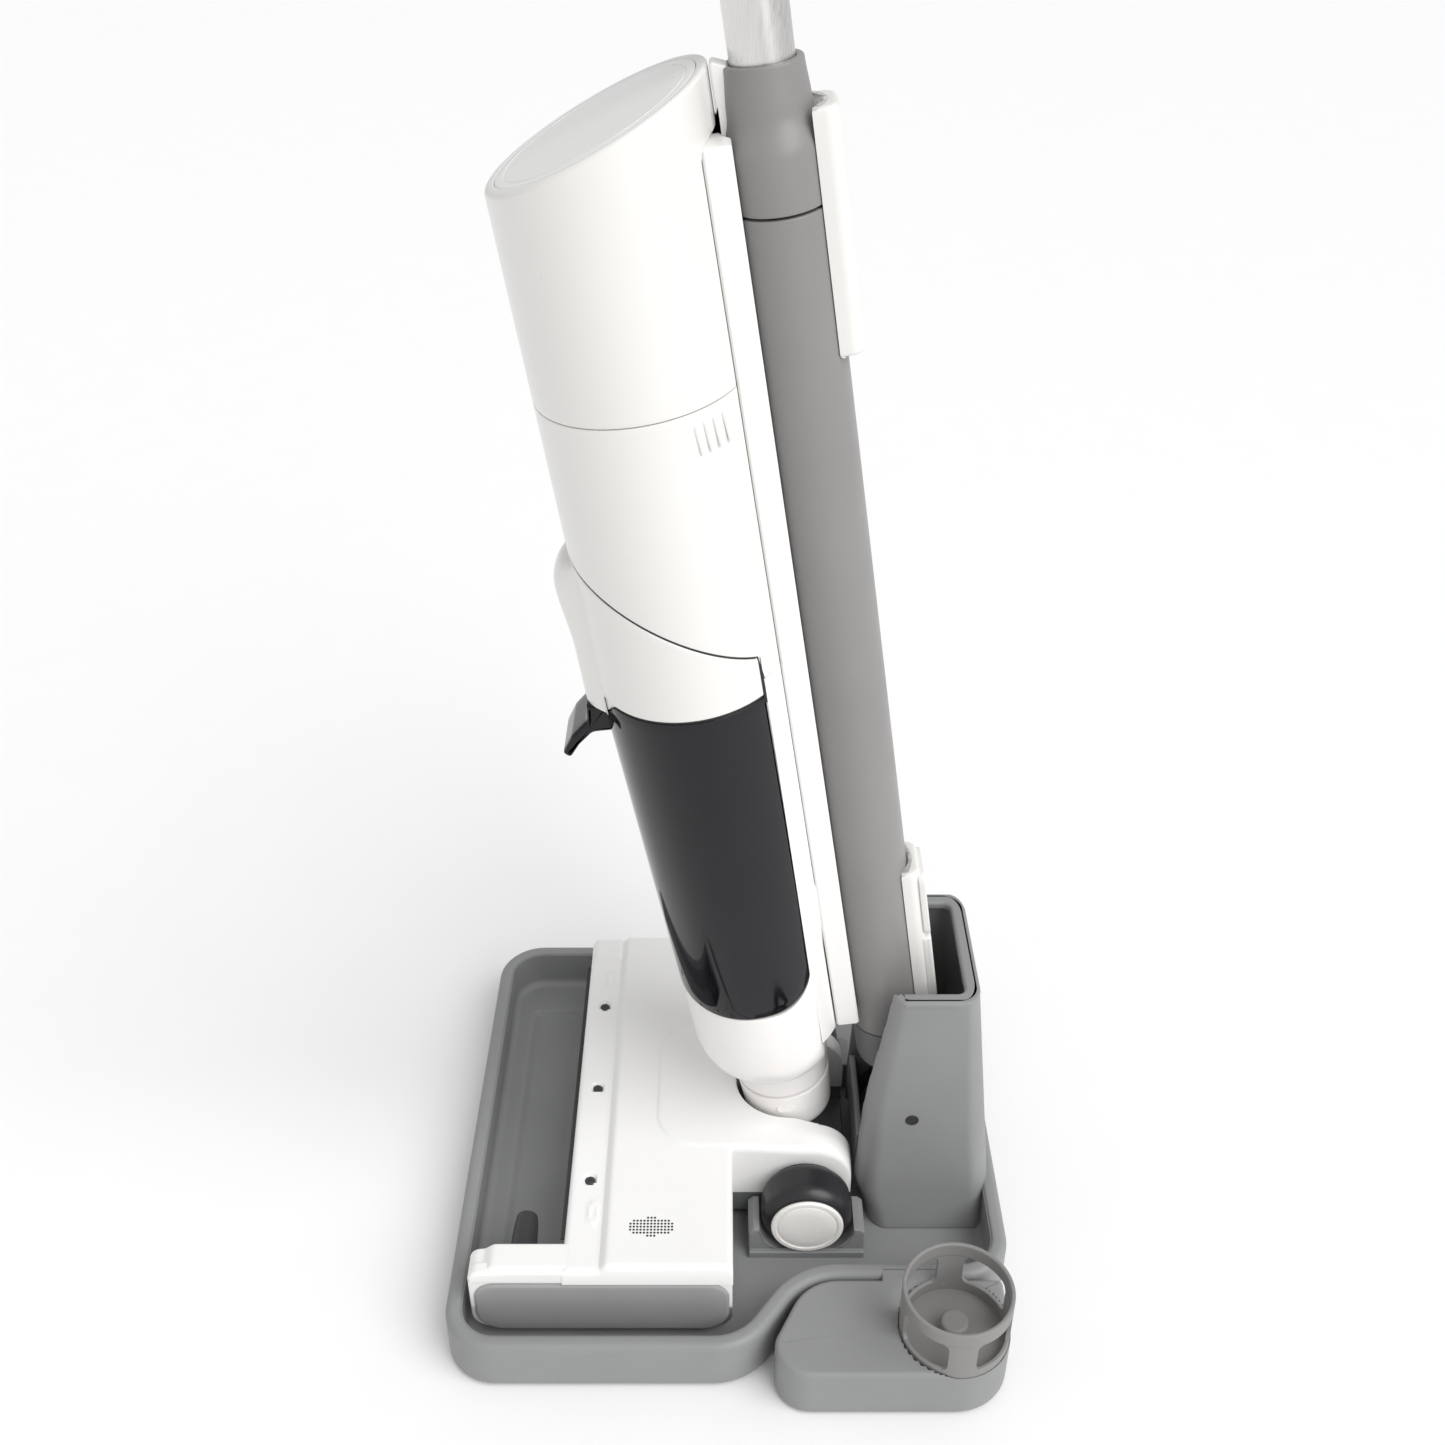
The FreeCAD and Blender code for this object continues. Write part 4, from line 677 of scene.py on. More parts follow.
def tower_section(count=320):
    """Rounded rectangle that shrinks with height; u runs from the middle of the doorway right round."""
    base = rounded([(0, -1, 0), (1, -1, 0.34), (1, 1, 0.34), (-1, 1, 0.34), (-1, -1, 0.34)], 0.05)
    base = even(np.vstack([base, base[:1]]), count + 1)[:-1]

    def section(u, z, inset):
        half, front, rear, flare = tower_size(z)
        depth = (rear - front) / 2
        x = base[:, :1] * (half + flare - inset)
        y = (front + rear) / 2 + base[:, 1:] * (depth - inset)
        return x, y

    return section


def tower_top(x, y):
    """Height of the wall's edge: the full height round the sides and back, the sill in the doorway."""
    half = TOWER_TOP_HALF - RIM
    open_part = smooth(half + 1.2 - np.abs(x), 0, 2.4) * smooth(118.0 - y, 0, 2.0)
    return TOWER_HIGH[2] - (TOWER_HIGH[2] - TOWER_SILL) * open_part


def tower_sheets():
    """Open-fronted wall with a thick rolled lip round its top edge."""
    count = 320
    section = tower_section(count)
    shell = skin(section, [flat(TRAY_FLOOR), tower_top], wall(4.0, 1.2, count=40), count)
    lip_low = TOWER_HIGH[2] - 6.0
    line = rounded(
        [(-48.4, 104.0, 0), (-48.4, 148.3, 14.0), (48.4, 148.3, 14.0), (48.4, 104.0, 0)],
        3.0,
        closed=False,
    )
    return [Sheet(shell, True, True),
            Sheet(strip_along(line, 0.0, 9.0, lip_low, TOWER_HIGH[2], 2.2), False, True)]


def tower_hole_sheets():
    """Dark plug of the screw hole in each of the tower's side walls: a flat disc inside a fine raised rim."""
    outline = np.array([[0.0, 0.1], [2.9, 0.1], [3.2, 0.35], [3.6, 0.35], [3.9, 0.0], [3.9, -2.0],
                        [0.0, -2.0]])
    wall_x = float(tower_size(95.5)[0]) + 0.35
    sheet = Sheet(along_x(turned(outline, 40), 112.9, 95.5, wall_x))
    return [sheet, sheet.placed(mirrored)]


def strip_along(line, out, into, low, high, edge):
    """Rounded bar that follows an open line: its section is a rounded rectangle from out to into and low to
    high."""
    along = np.gradient(line, axis=0)
    along /= np.linalg.norm(along, axis=1)[:, None]
    inward = np.stack([along[:, 1], -along[:, 0]], -1)
    shape = rounded([(out, low, edge), (into, low, edge), (into, high, edge), (out, high, edge)], 3.0)
    shrink = np.concatenate([[0.0], np.ones(len(line)), [0.0]])
    line = np.vstack([line[:1], line, line[-1:]])
    inward = np.vstack([inward[:1], inward, inward[-1:]])
    middle = shape.mean(axis=0)
    a = middle[0] + (shape[None, :, 0] - middle[0]) * shrink[:, None]
    b = middle[1] + (shape[None, :, 1] - middle[1]) * shrink[:, None]
    x = line[:, :1] + inward[:, :1] * a
    y = line[:, 1:] + inward[:, 1:] * a
    return np.stack([x, y, b + 0 * x], axis=-1)


def screw(x, y, z, radius, depth, axis):
    """Pan head with a cross recess pressed as a shallow star, its axis along X or Z."""
    outline = np.vstack(
        [
            [[0.0, depth * 0.45], [radius * 0.28, depth * 0.5], [radius * 0.42, depth * 0.92]],
            np.stack([radius * np.sin(np.linspace(0.5, 1.57, 7)), depth * np.cos(np.linspace(0.5, 1.57, 7))],
                     -1),
            [[radius, -depth], [0.0, -depth]],
        ]
    )

    def cross(angle, height):
        lobes = 0.72 + 0.28 * np.cos(4 * angle)
        return np.where(outline[None, :, 0] < radius * 0.45, lobes, 1.0)

    grid = turned(outline, 48, cross)
    return along_x(grid, y, z, x) if axis == "x" else shifted(grid, x, y, z)


def holder_outline(inset=0.0):
    """Outline of the accessory holder: round outside, and following the tray's S-bend inside."""
    inner = NOTCH_X + 1.5 + inset
    out, front, rear = HOLDER_HIGH[0] - inset, HOLDER_LOW[1] + inset, HOLDER_HIGH[1] - inset
    return [
        (inner, rear, 3.0),
        (inner, NOTCH_Y + 0.5, NOTCH_BEND - 8.0),
        (out - 24.0, front + 1.0, 14.0),
        (out, front, 20.0),
        (out, rear, HOLDER_CORNER - inset),
    ]


def holder_sheets():
    """Block with a rounded top edge, its round seat, and the hook plate that lies in the tray's rim."""
    base, top = HOLDER_LOW[2], HOLDER_HIGH[2]
    points = rounded(holder_outline(), 3.0)
    seat_x, seat_y, seat_r = ring_centre()

    def holder_top(x, y):
        from_seat = np.hypot(x - seat_x, y - seat_y)
        return top - 8.0 * smooth(seat_r + 0.4 - from_seat, 0, 0.9)

    profile = np.vstack(
        [
            cap(0, 0, 1.5, 0, 1, 6),
            bend(0, 1.5, 0, 0, 1.5, False, 4),
            rise(0, 1, 0, 1.5, -3.2, 6),
            bend(1, 0, -3.2, 3.2, 0, True, 7),
            cap(1, 0, 3.2, 1, 0, 90),
        ]
    )
    body = skin(drawn(points), [flat(base), holder_top], profile, len(points), (seat_x, seat_y - 30.0))
    tab = [(NOTCH_X - 7.5, 93.0, 2.5), (NOTCH_X + 5.0, 93.0, 0), (NOTCH_X + 5.0, 129.0, 0),
           (NOTCH_X - 7.5, 129.0, 2.5)]
    return [Sheet(body), block(tab, top - 3.4, top, 0.9)]


def ring_centre():
    """(x, y, radius) of the drying ring."""
    middle = (RING_LOW + RING_HIGH) / 2
    return middle[0], middle[1], (RING_HIGH[0] - RING_LOW[0]) / 2


def ring_sheets():
    """Floor, lower and upper bands and four posts that flare into the bands, with a peg in the middle."""
    x, y, radius = ring_centre()
    top, base = RING_HIGH[2], RING_LOW[2]
    circle = drawn(shifted(turned(np.array([[radius, 0.0]]), 120), x, y)[:, 0, :2])
    low_band = skin(circle, [flat(base), flat(38.4)], wall(2.4, 0.7, count=6), 120)
    high_band = skin(circle, [flat(top - 10.0), flat(top)], wall(2.4, 0.9, count=6), 120)
    floor = np.array([[0, base + 2.4], [radius - 2.0, base + 2.4], [radius - 2.0, base + 0.1],
                      [0, base + 0.1]])
    peg_r = 8.0
    angle = np.linspace(0, math.pi / 2, 7)
    dome = np.stack([peg_r - 2.2 + 2.2 * np.cos(angle), base + 11.5 + 2.0 * np.sin(angle)], -1)
    peg = np.vstack([[[0, base + 1.0], [peg_r + 0.8, base + 1.0], [peg_r, base + 4.0]], dome,
                     [[0, base + 13.5]]])
    sheets = [Sheet(low_band, True, True), Sheet(high_band, True, True)]
    sheets += [Sheet(shifted(turned(floor, 96), x, y)), Sheet(shifted(turned(peg, 64), x, y))]
    posts = [post_grid(x, y, radius, math.pi / 2 * i, 37.8, top - 9.4) for i in range(4)]
    sheets += [Sheet(post, False, True) for post in posts]
    return sheets


def post_grid(x, y, radius, heading, low, high):
    """Post of the ring: an arc of wall whose half width grows by a quarter circle into the band above and
    below."""
    height = low + (high - low) * (1 - np.cos(np.linspace(0, math.pi, 33))) / 2
    bend_r = 5.0
    to_end = np.minimum(np.minimum(high - height, height - low), bend_r)
    flare = bend_r - np.sqrt(np.maximum(bend_r**2 - (bend_r - to_end) ** 2, 0))
    half = 8.0 + flare
    shape = rounded([(-1, 0, 0.06), (1, 0, 0.06), (1, 1, 0.06), (-1, 1, 0.06)], 0.1)
    across = shape[None, :, 0] * half[:, None] / radius + heading
    reach = radius - 2.4 * (1 - shape[None, :, 1]) - 0.02 + 0 * across
    grid = [x + reach * np.cos(across), y + reach * np.sin(across), height[:, None] + 0 * across]
    return np.stack(grid, axis=-1)


def power_socket_sheets():
    """Barrel socket in the tower's rear: a flanged sleeve with its contact pin inside."""
    low, high = extent("power_inlet")
    middle = (low + high) / 2
    length = high[1] - low[1]
    outline = np.array([[0, 0], [6.0, 0], [6.0, length - 0.6], [5.4, length], [3.2, length],
                        [2.75, length - 0.5],
                        [2.75, length - 10.0], [0, length - 10.0]])
    pin = np.array([[0, length - 10.0], [0.9, length - 10.0], [0.9, length - 3.0], [0.5, length - 2.4],
                    [0, length - 2.4]])
    sheets = []
    for shape in (outline, pin):
        grid = turned(shape, 48)
        sheets.append(Sheet(np.stack([grid[..., 0], low[1] + grid[..., 2], middle[2] + grid[..., 1]],
                                     axis=-1)))
    return sheets


# ---------------------------------------------------------------- floor head

CUP_Y = 39.0
CUP_GAP_R = 30.2
SLOT_HALF_W = 34.5
PLATE_TOP = 70.0


def tile(x0, x1, y0, y1, top, bottom, edge, spacing=2.5):
    """Block with a rectangular grid on top: height is top(x, y) less a quarter round along each side, down to
    bottom."""
    angle = np.linspace(0, math.pi / 2, 6)

    def lines(low, high):
        arc = edge * (1 - np.cos(angle))
        drop = edge * (1 - np.sin(angle))
        flat_count = max(2, int((high - low - 2 * edge) / spacing))
        inside = np.linspace(low + edge, high - edge, flat_count + 1)[1:-1]
        at = np.concatenate([[low, low], low + arc, inside, high - arc[::-1], [high, high]])
        fall = np.concatenate([[900, 900], drop, 0 * inside, drop[::-1], [900, 900]])
        at[0], at[-1] = low + 3.0, high - 3.0
        return at, fall

    x, drop_x = lines(x0, x1)
    y, drop_y = lines(y0, y1)
    x, y = x[:, None] + 0 * y[None], y[None] + 0 * x[:, None]
    z = np.maximum(bottom, top(x, y) - drop_x[:, None] - drop_y[None])
    return Sheet(np.stack([x, y, z], axis=-1), False, False)


def plate_top(x, y):
    """Top of the head: a soft step down to the front strip, raised clips near both ends and shallow screw
    wells."""
    step = smooth(STRIP_REAR + 1.5 - y, 0, 4.5)
    z = PLATE_TOP - (PLATE_TOP - STRIP_TOP) * step
    for end in (-1, 1):
        ring = np.hypot((x - end * 98.0) / 9.0, (y + 75.5) / 3.6)
        z = z + 0.9 * smooth(1.12 - ring, 0, 0.3) - 0.5 * smooth(0.75 - ring, 0, 0.25)
    for wx in SCREW_X:
        z = z - 2.6 * smooth(4.0 - np.hypot(x - wx, y + 79.0), 0, 0.7)
    z = z + 2.0 * smooth(-118.0 - x, 0, 2.0) * smooth(-69.0 - y, 0, 2.0) * smooth(y + 90.0, 0, 2.0)
    return z


SCREW_X = (-73.2, 0.0, 73.2)


def speaker_dots():
    """Oval patch of small round openings near the left end, each a dark dimple."""
    columns = np.arange(-6, 7) * 2.0
    rows = np.arange(-3, 4) * 2.1
    u, v = (a.ravel() for a in np.meshgrid(columns, rows, indexing="ij"))
    inside = (u / 13.0) ** 2 + (v / 6.6) ** 2 < 1.0
    outline = np.array([[0, -0.3], [0.62, -0.3], [0.74, 0.06], [0.0, 0.02]])
    dot = turned(outline, 10)
    return [Sheet(shifted(dot, 111.0 + b, -41.0 + a, PLATE_TOP)) for a, b in zip(u[inside], v[inside])]


def cover_sheets():
    """The plate over the roller chamber, and the tail that carries the neck and the wheels."""
    front, rear = COVER_LOW[1], 6.0
    end, foot = HEAD_END + 2.9, PLATE_HIGH[2] + 0.8
    plate = tile(-end, end, front, rear, plate_top, foot, 3.4, 1.6)
    low = COVER_LOW[2]
    skirt = [(front + 0.3, low, 0), (rear - 0.3, low, 0), (rear - 0.3, foot + 3.0, 0),
             (front + 0.3, foot + 3.0, 0)]
    return [plate, block(skirt, -HEAD_END, HEAD_END, 0.6, axis="x"), tail_sheet()]


def tail_sheet():
    """U-shaped saddle: v runs from the cup's gap over the top to the outer wall, u along the U from the rear
    of the right arm round the front to the rear of the left one. The top dishes up to the gap and rounds down
    behind."""
    rear = 79.0
    count = 260
    inner = rounded(
        [(SLOT_HALF_W, rear, 0), (SLOT_HALF_W, 60.0, 6.0), (CUP_GAP_R, 45.0, 6.0),
         (CUP_GAP_R, CUP_Y - CUP_GAP_R, CUP_GAP_R - 0.1),
         (-CUP_GAP_R, CUP_Y - CUP_GAP_R, CUP_GAP_R - 0.1), (-CUP_GAP_R, 45.0, 6.0), (-SLOT_HALF_W, 60.0, 6.0),
         (-SLOT_HALF_W, rear, 0)],
        1.5, closed=False)
    outer = rounded(
        [(TAIL_HALF_W, rear, 0), (TAIL_HALF_W, -43.0, 27.0), (-TAIL_HALF_W, -43.0, 27.0),
         (-TAIL_HALF_W, rear, 0)],
        2.0, closed=False)
    inner, outer = even(inner, count), even(outer, count)
    low = COVER_LOW[2]
    angle = np.linspace(0, math.pi / 2, 6)
    lip, brow = 1.0, 5.0
    across = np.linspace(0, 1, 26)
    span = np.linalg.norm(outer - inner, axis=1)[:, None]
    from_gap = across[None] * (span - lip - brow) + lip
    reach = np.concatenate([0 * span, lip * (1 - np.cos(angle))[None] + 0 * span, from_gap,
                            span - brow + brow * np.sin(angle)[None], span], axis=1)
    fall = np.concatenate([[900.0], lip * (1 - np.sin(angle)), 0 * across, brow * (1 - np.cos(angle)),
                           [900.0]])
    share = (reach / span)[..., None]
    flat_points = inner[:, None] * (1 - share) + outer[:, None] * share
    x, y = flat_points[..., 0], flat_points[..., 1]
    z = np.maximum(low, tail_top(x, y, reach) - fall[None])
    grid = np.stack([x, y, z], axis=-1)
    under = grid[:, [0, -1]].copy()
    under[..., 2] = low
    grid = np.concatenate([grid, under[:, 1:], under[:, :1]], axis=1)
    ends = grid.mean(axis=1, keepdims=True) + 0 * grid
    return Sheet(np.concatenate([ends[:1], grid, ends[-1:]]), False, True)


def tail_top(x, y, reach):
    """Tail height: a low crown over the plate that dishes up towards the gap and rolls down over the
    wheels."""
    dish = 1.8 * np.exp(-((reach / 16.0) ** 2)) * smooth(62.0 - y, 0, 40.0)
    rear = np.clip(y - 55.0, 0, 23.9)
    roll = 24.0 - np.sqrt(24.0**2 - rear**2)
    side_fall = 3.0 * smooth(reach, 8.0, 22.0) * smooth(y, 0.0, 60.0)
    return PLATE_TOP + 0.9 + dish - roll - side_fall


def arm_sheets():
    """White arm beside the roller: a rounded bar with a small step on its top near the front."""
    x0, x1 = ARM_LOW[0], ARM_HIGH[0]
    front, rear, base, top = ARM_LOW[1], ARM_HIGH[1] + 3.0, ARM_LOW[2], ARM_HIGH[2]
    side = [(front, base, 12.0), (rear, base, 0), (rear, top, 0), (front + 14.0, top, 6.0),
            (front + 9.0, top - 4.0, 5.0),
            (front, top - 5.0, 7.0)]
    return [block(side, x0, x1, 1.6, spacing=3.0, axis="x", centre=((front + rear) / 2, (base + top) / 2))]


def end_plate_outline(front, rear, drop=0.0):
    """Long plate with big rounded lower corners and an almost straight top edge."""
    z0, z1 = PLATE_LOW[2], PLATE_HIGH[2]
    return [(front, z0, 15.5 - drop), (rear, z0, 15.5 - drop), (rear, z1, 12.0), (front, z1, 12.0)]


def end_plate_sheets(side):
    """Grey plate with a raised field inside a shallow groove."""
    front = PLATE_LOW[1] if side > 0 else COVER_LOW[1] + 2.0
    rear = PLATE_HIGH[1]
    x1 = PLATE_HIGH[0]
    points = rounded(end_plate_outline(front, rear), 3.0)
    middle = ((front + rear) / 2, (PLATE_LOW[2] + PLATE_HIGH[2]) / 2)
    profile = np.vstack(
        [
            cap(0, 0, 0.4, 0, 1, 3),
            rise(0, 1, 0, 0, -2.2, 3),
            bend(1, 0, -2.2, 2.2, 0, True, 6),
            cap(1, 0, 2.2, 1, 0.0, 10),
        ]
    )
    grid = turned_to_x(skin(drawn(points), [flat(x1 - 3.0), flat(x1)], profile, len(points), middle))
    sheet = Sheet(grid)
    return [sheet if side > 0 else sheet.placed(mirrored)]


def ear_sheets(side):
    """White ears of the cover that come down at both ends of the end plate."""
    front = (ARM_LOW[1] if side > 0 else COVER_LOW[1]) + 0.4
    rear = 5.6
    x1 = HEAD_END
    top = ARM_HIGH[2] if side > 0 else 66.0
    z_top = PLATE_HIGH[2] + 0.8
    back = [(front, 31.0, 3.0), (rear, 31.0, 3.0), (rear, top - 3.0, 9.0), (front, top - 6.0, 8.0)]
    band = [(front + 1.0, z_top, 2.0), (rear - 1.0, z_top, 2.0), (rear, top, 6.0), (front, top - 2.0, 6.0)]
    sheets = [block(back, x1 - 6.0, x1 + 1.2, 1.0, axis="x"), block(band, x1 - 6.0, x1 + 2.6, 1.8, axis="x")]
    return [sheet if side > 0 else sheet.placed(mirrored) for sheet in sheets]


def chassis_sheets():
    """Lower half of the head with big rounded corners, and the deck under the tail."""
    front = extent("head_chassis")[0][1]
    corners = [(front, 12.0, 9.0), (6.0, 12.0, 12.0), (6.0, 30.0, 0), (front, 30.0, 0)]
    sheets = [block(corners, -HEAD_END, HEAD_END, 1.0, axis="x")]
    for side in (-1, 1):
        deck = [(0.0, 13.0, 2.0), (78.5, 13.0, 6.0), (78.5, 29.8, 1.0), (0.0, 29.8, 0)]
        x0, x1 = sorted((side * 36.0, side * 52.6))
        sheets.append(block(deck, x0, x1, 0.8, axis="x"))
    rear = [(4.0, 13.0, 1.0), (78.5, 13.0, 6.0), (78.5, 17.5, 1.0), (4.0, 17.5, 0)]
    sheets.append(block(rear, -36.5, 36.5, 0.8, axis="x"))
    return sheets


def hub_sheets():
    """Tapered six-lobed peg with a domed tip and a flared foot, its axis along X."""
    low, high = extent("roller_drive_hub")
    x0, x1 = low[0], 118.6
    tip = np.linspace(0, math.pi / 2, 8)
    dome = np.stack([6.4 * np.sin(tip), x0 + 2.4 * (1 - np.cos(tip))], -1)
    sides = np.array([[7.2, x0 + 9.0], [7.8, x0 + 22.0], [7.9, x0 + 30.0], [8.4, x1 - 3.0], [8.5, x1],
                      [0.0, x1]])
    outline = divided(np.vstack([dome, sides]), 1.5, False)

    def lobes(angle, height):
        depth = 0.075 * smooth(height, x0 + 1.0, x0 + 5.0) * smooth(x1 - 3.0 - height, 0, 5.0)
        return 1 - depth * (0.5 - 0.5 * np.cos(6 * angle)) ** 3

    shaft = np.array([[0, x1 - 0.1], [4.0, x1 - 0.1], [4.0, high[0]], [0, high[0]]])
    grids = [turned(outline, 96, lobes), turned(shaft, 32)]
    return [Sheet(along_x(grid, ROLLER_Y, ROLLER_Z)) for grid in grids]


# ---------------------------------------------------------------- wheels


def wheel_grids():
    """Tyre with a crowned tread, spoked hub behind, and the cap's serrated ring, groove and domed disc."""
    x0, x1 = TYRE_LOW[0], TYRE_HIGH[0]
    radius = (TYRE_HIGH[1] - TYRE_LOW[1]) / 2
    inner = radius - 5.0
    section = rounded([(inner, x0, 0.5), (radius, x0, 8.0), (radius, x1, 8.0), (inner, x1, 0.5)], 1.4)
    crown = 1 - 0.012 * ((section[:, 1] - (x0 + x1) / 2) / ((x1 - x0) / 2)) ** 2
    tread = np.stack([np.where(section[:, 0] > inner + 1, section[:, 0] * crown, section[:, 0]),
                      section[:, 1]], -1)
    cap_low, cap_high = extent("left_cap")
    x2 = cap_high[0]
    angle = np.linspace(0, math.pi / 2, 6)
    ring = np.vstack(
        [
            [[0, cap_low[0]], [21.8, cap_low[0]]],
            np.stack([20.8 + np.cos(angle), x2 - 1.0 + np.sin(angle)], -1),
            [[18.9, x2 - 0.05], [18.5, x2 - 0.9], [17.8, x2 - 1.0], [17.4, x2 - 0.3], [16.8, x2 - 0.1]],
            [[11.0, x2 - 0.02], [6.0, x2 + 0.0], [0.0, x2 + 0.0]],
        ]
    )
    hub_low, hub_high = extent("left_hub")
    hub = np.array([[0, hub_low[0]], [7.0, hub_low[0]], [8.0, hub_low[0] + 2.0], [18.0, hub_low[0] + 2.0],
                    [19.5, hub_low[0]],
                    [22.1, hub_low[0]], [22.1, hub_high[0] - 0.6], [21.6, hub_high[0]], [0, hub_high[0]]])

    def serrated(angle, height):
        rim = (ring[None, :, 0] > 20.4) & (ring[None, :, 0] < 21.9)
        return np.where(rim, 1 - 0.006 * (0.5 + 0.5 * np.cos(72 * angle)), 1.0)

    tyre_grid = turned(tread, 128)
    return {
        "tyre": (tyre_grid, True),
        "hub": (turned(divided(hub, 2.0, False), 96), False),
        "cap": (turned(ring, 288, serrated), False),
    }


def wheel_sheet(grid, closed, side):
    middle_y = (TYRE_LOW[1] + TYRE_HIGH[1]) / 2
    middle_z = (TYRE_LOW[2] + TYRE_HIGH[2]) / 2
    sheet = Sheet(along_x(grid, middle_y, middle_z), True, closed)
    return sheet if side > 0 else sheet.placed(mirrored)


# ---------------------------------------------------------------- neck


def cup_sheets():
    """Flaring cup with a rolled upper lip, its two pivot ears and the spigot that the body turns on."""
    outline = rounded(
        [(15.0, 12.0, 0), (26.2, 11.6, 4.0), (27.2, 17.0, 10.0), (28.6, 38.0, 1.5), (28.6, 41.4, 0.6),
         (25.9, 41.4, 0.6), (25.9, 48.8, 1.0),
         (15.0, 48.8, 1.0)],
        1.6,
    )
    sheets = [Sheet(lean(shifted(turned(outline, 160), 0, NECK_Y)), True, True)]
    for side in (-1, 1):
        ear = [(-10.0, -10.0, 9.9), (10.0, -10.0, 9.9), (10.0, 16.0, 1.0), (-10.0, 16.0, 1.0)]
        x0, x1 = sorted((side * 26.8, side * 33.0))
        sheets.append(block(ear, x0, x1, 0.8, axis="x").placed(lean))
    return sheets


def neck_button_sheets():
    """Round-ended button with its two shallow bracket grooves."""
    low, high = -6.0, 6.0
    corners = [(NECK_Y + low, 29.0, 3.2), (NECK_Y + high, 29.0, 3.2), (NECK_Y + high, 36.0, 3.2),
               (NECK_Y + low, 36.0, 3.2)]
    return [block(corners, 22.0, 28.4, 1.0, spacing=1.0, axis="x").placed(lean)]


# ---------------------------------------------------------------- body


def lean_sheet(grid, wrap_v=False):
    return Sheet(lean(grid), True, wrap_v)


def bowl_size(z):
    """(half width, half depth, middle y) of the bowl: a round collar, a shoulder that swells as a power
    curve, then the can's oval drawn in a little towards its foot."""
    share = np.clip((TANK_TOP_Z - z) / (TANK_TOP_Z - TANK_FLOOR_Z), 0, 1.25)
    full = (BODY_HALF_W - 2.6 * share, BODY_HALF_D - 4.0 * share, BODY_Y + 4.0 * share)
    swell = 1 - (1 - np.clip((z - COLLAR_SEAM_Z) / 30.0, 0, 1)) ** 2.3
    neck = 28.6 + 2.4 * np.clip((z - 42.0) / (COLLAR_SEAM_Z - 42.0), 0, 1) ** 2
    neck = neck - 0.9 * np.exp(-(((z - COLLAR_SEAM_Z) / 0.9) ** 2))
    return tuple(low + (high - low) * swell for low, high in zip((neck, neck, NECK_Y), full))


def drawn_in(section):
    """The section with its front half and width drawn in below the tank's top, to meet the bowl."""

    def narrowed(u, z, inset):
        x, y = section(u, z, inset)
        share = np.clip((TANK_TOP_Z - z) / (TANK_TOP_Z - TANK_FLOOR_Z), 0, 1)
        front = np.minimum(y - BODY_Y, 0.0) * (1 - 8.0 * share / BODY_HALF_D)
        return x * (1 - 2.6 * share / BODY_HALF_W), BODY_Y + front + np.maximum(y - BODY_Y, 0.0)

    return narrowed


def tank_bottom(grow=0.0):
    """Underside of the tank: level, with a rounded heel along its rear edge."""
    heel = TANK_BACK_Y + grow - TANK_HEEL_R

    def height(x, y):
        reach = np.clip(y - heel, 0.0, 0.999 * TANK_HEEL_R)
        return TANK_FLOOR_Z - grow + TANK_HEEL_R - np.sqrt(TANK_HEEL_R**2 - reach**2) + 0.0 * x

    return height


def housing_sheets():
    """Bowl whose rim follows the tank's underside and rises behind it as the bay wall."""
    count = 320
    low = 42.4

    def section(u, z, inset):
        w, d, middle = bowl_size(z)
        angle = 2 * math.pi * u
        y = middle - (d - inset) * np.cos(angle)
        rear = BACK_Y - inset + 7.0 * smooth(SPINE_FOOT_Z - 1.0 - z, 0, 4.0)
        return (w - inset) * np.sin(angle), np.minimum(y, rear)

    def rim(x, y):
        under = tank_bottom(0.5)(x, y)
        side = smooth(y, TANK_BACK_Y + 0.2, TANK_BACK_Y + 1.6)
        return under + (BAY_TOP_Z - under) * side

    profile = np.vstack(
        [
            cap(0, 0, 1.8, 0.74, 1, 3),
            bend(0, 1.8, 0, 0, 2.6, False, 5),
            rise(0, 1, 0, 2.6, -0.7, 150),
            bend(1, 0, -0.7, 0.7, 0, True, 4),
            bend(1, 2.3, 0, 3.0, -0.7, False, 4),
            rise(1, 0, 3.0, -0.7, 8.0, 50),
            cap(0, 8.0, 3.0, 1, 0.74, 3),
        ]
    )
    shell = skin(section, [flat(low), rim], profile, count, (0.0, NECK_Y))
    bay = bay_grid()
    return [lean_sheet(shell, True), Sheet(lean(bay), True, True)]


def bay_grid():
    """Wall behind the tank, from the bowl up to the can: the oval's rear part as a closed bar."""
    side = [(44.0, 21.5, 0.6), (37.0, 26.9, 20.0), (31.0, BACK_Y - 0.6, 2.0)]
    other = [(-x, y, radius) for x, y, radius in reversed(side)]
    points = rounded(side + other, 3.0)
    return skin(drawn(points), [flat(100.0), flat(BAY_TOP_Z)], bay_profile(), len(points), (0.0, 26.0))


def bay_profile():
    """Profile of the bay wall, closed at both ends."""
    return solid(0.6, 0.6, 30, 3)


def joint_curve(gap):
    """The straight slant between the lid and the can, falling from the front to the lid's rear edge."""
    slope = (LID_REAR_Z - LID_FRONT_Z) / (TANK_BACK_Y - BODY_FRONT)

    def height(x, y):
        return LID_FRONT_Z + slope * (y - BODY_FRONT) + 0.0 * x + gap

    return height


def tank_top(gap=0.0):
    """Upper edge of the tank: level, dipping at the front to the foot of the lid's grip."""

    def height(x, y):
        dip = smooth(40.0 - np.abs(x), 0.0, 18.0) * (y < BODY_Y)
        return TANK_TOP_Z + gap - (TANK_TOP_Z - LID_GRIP_Z + 1.2) * dip

    return height


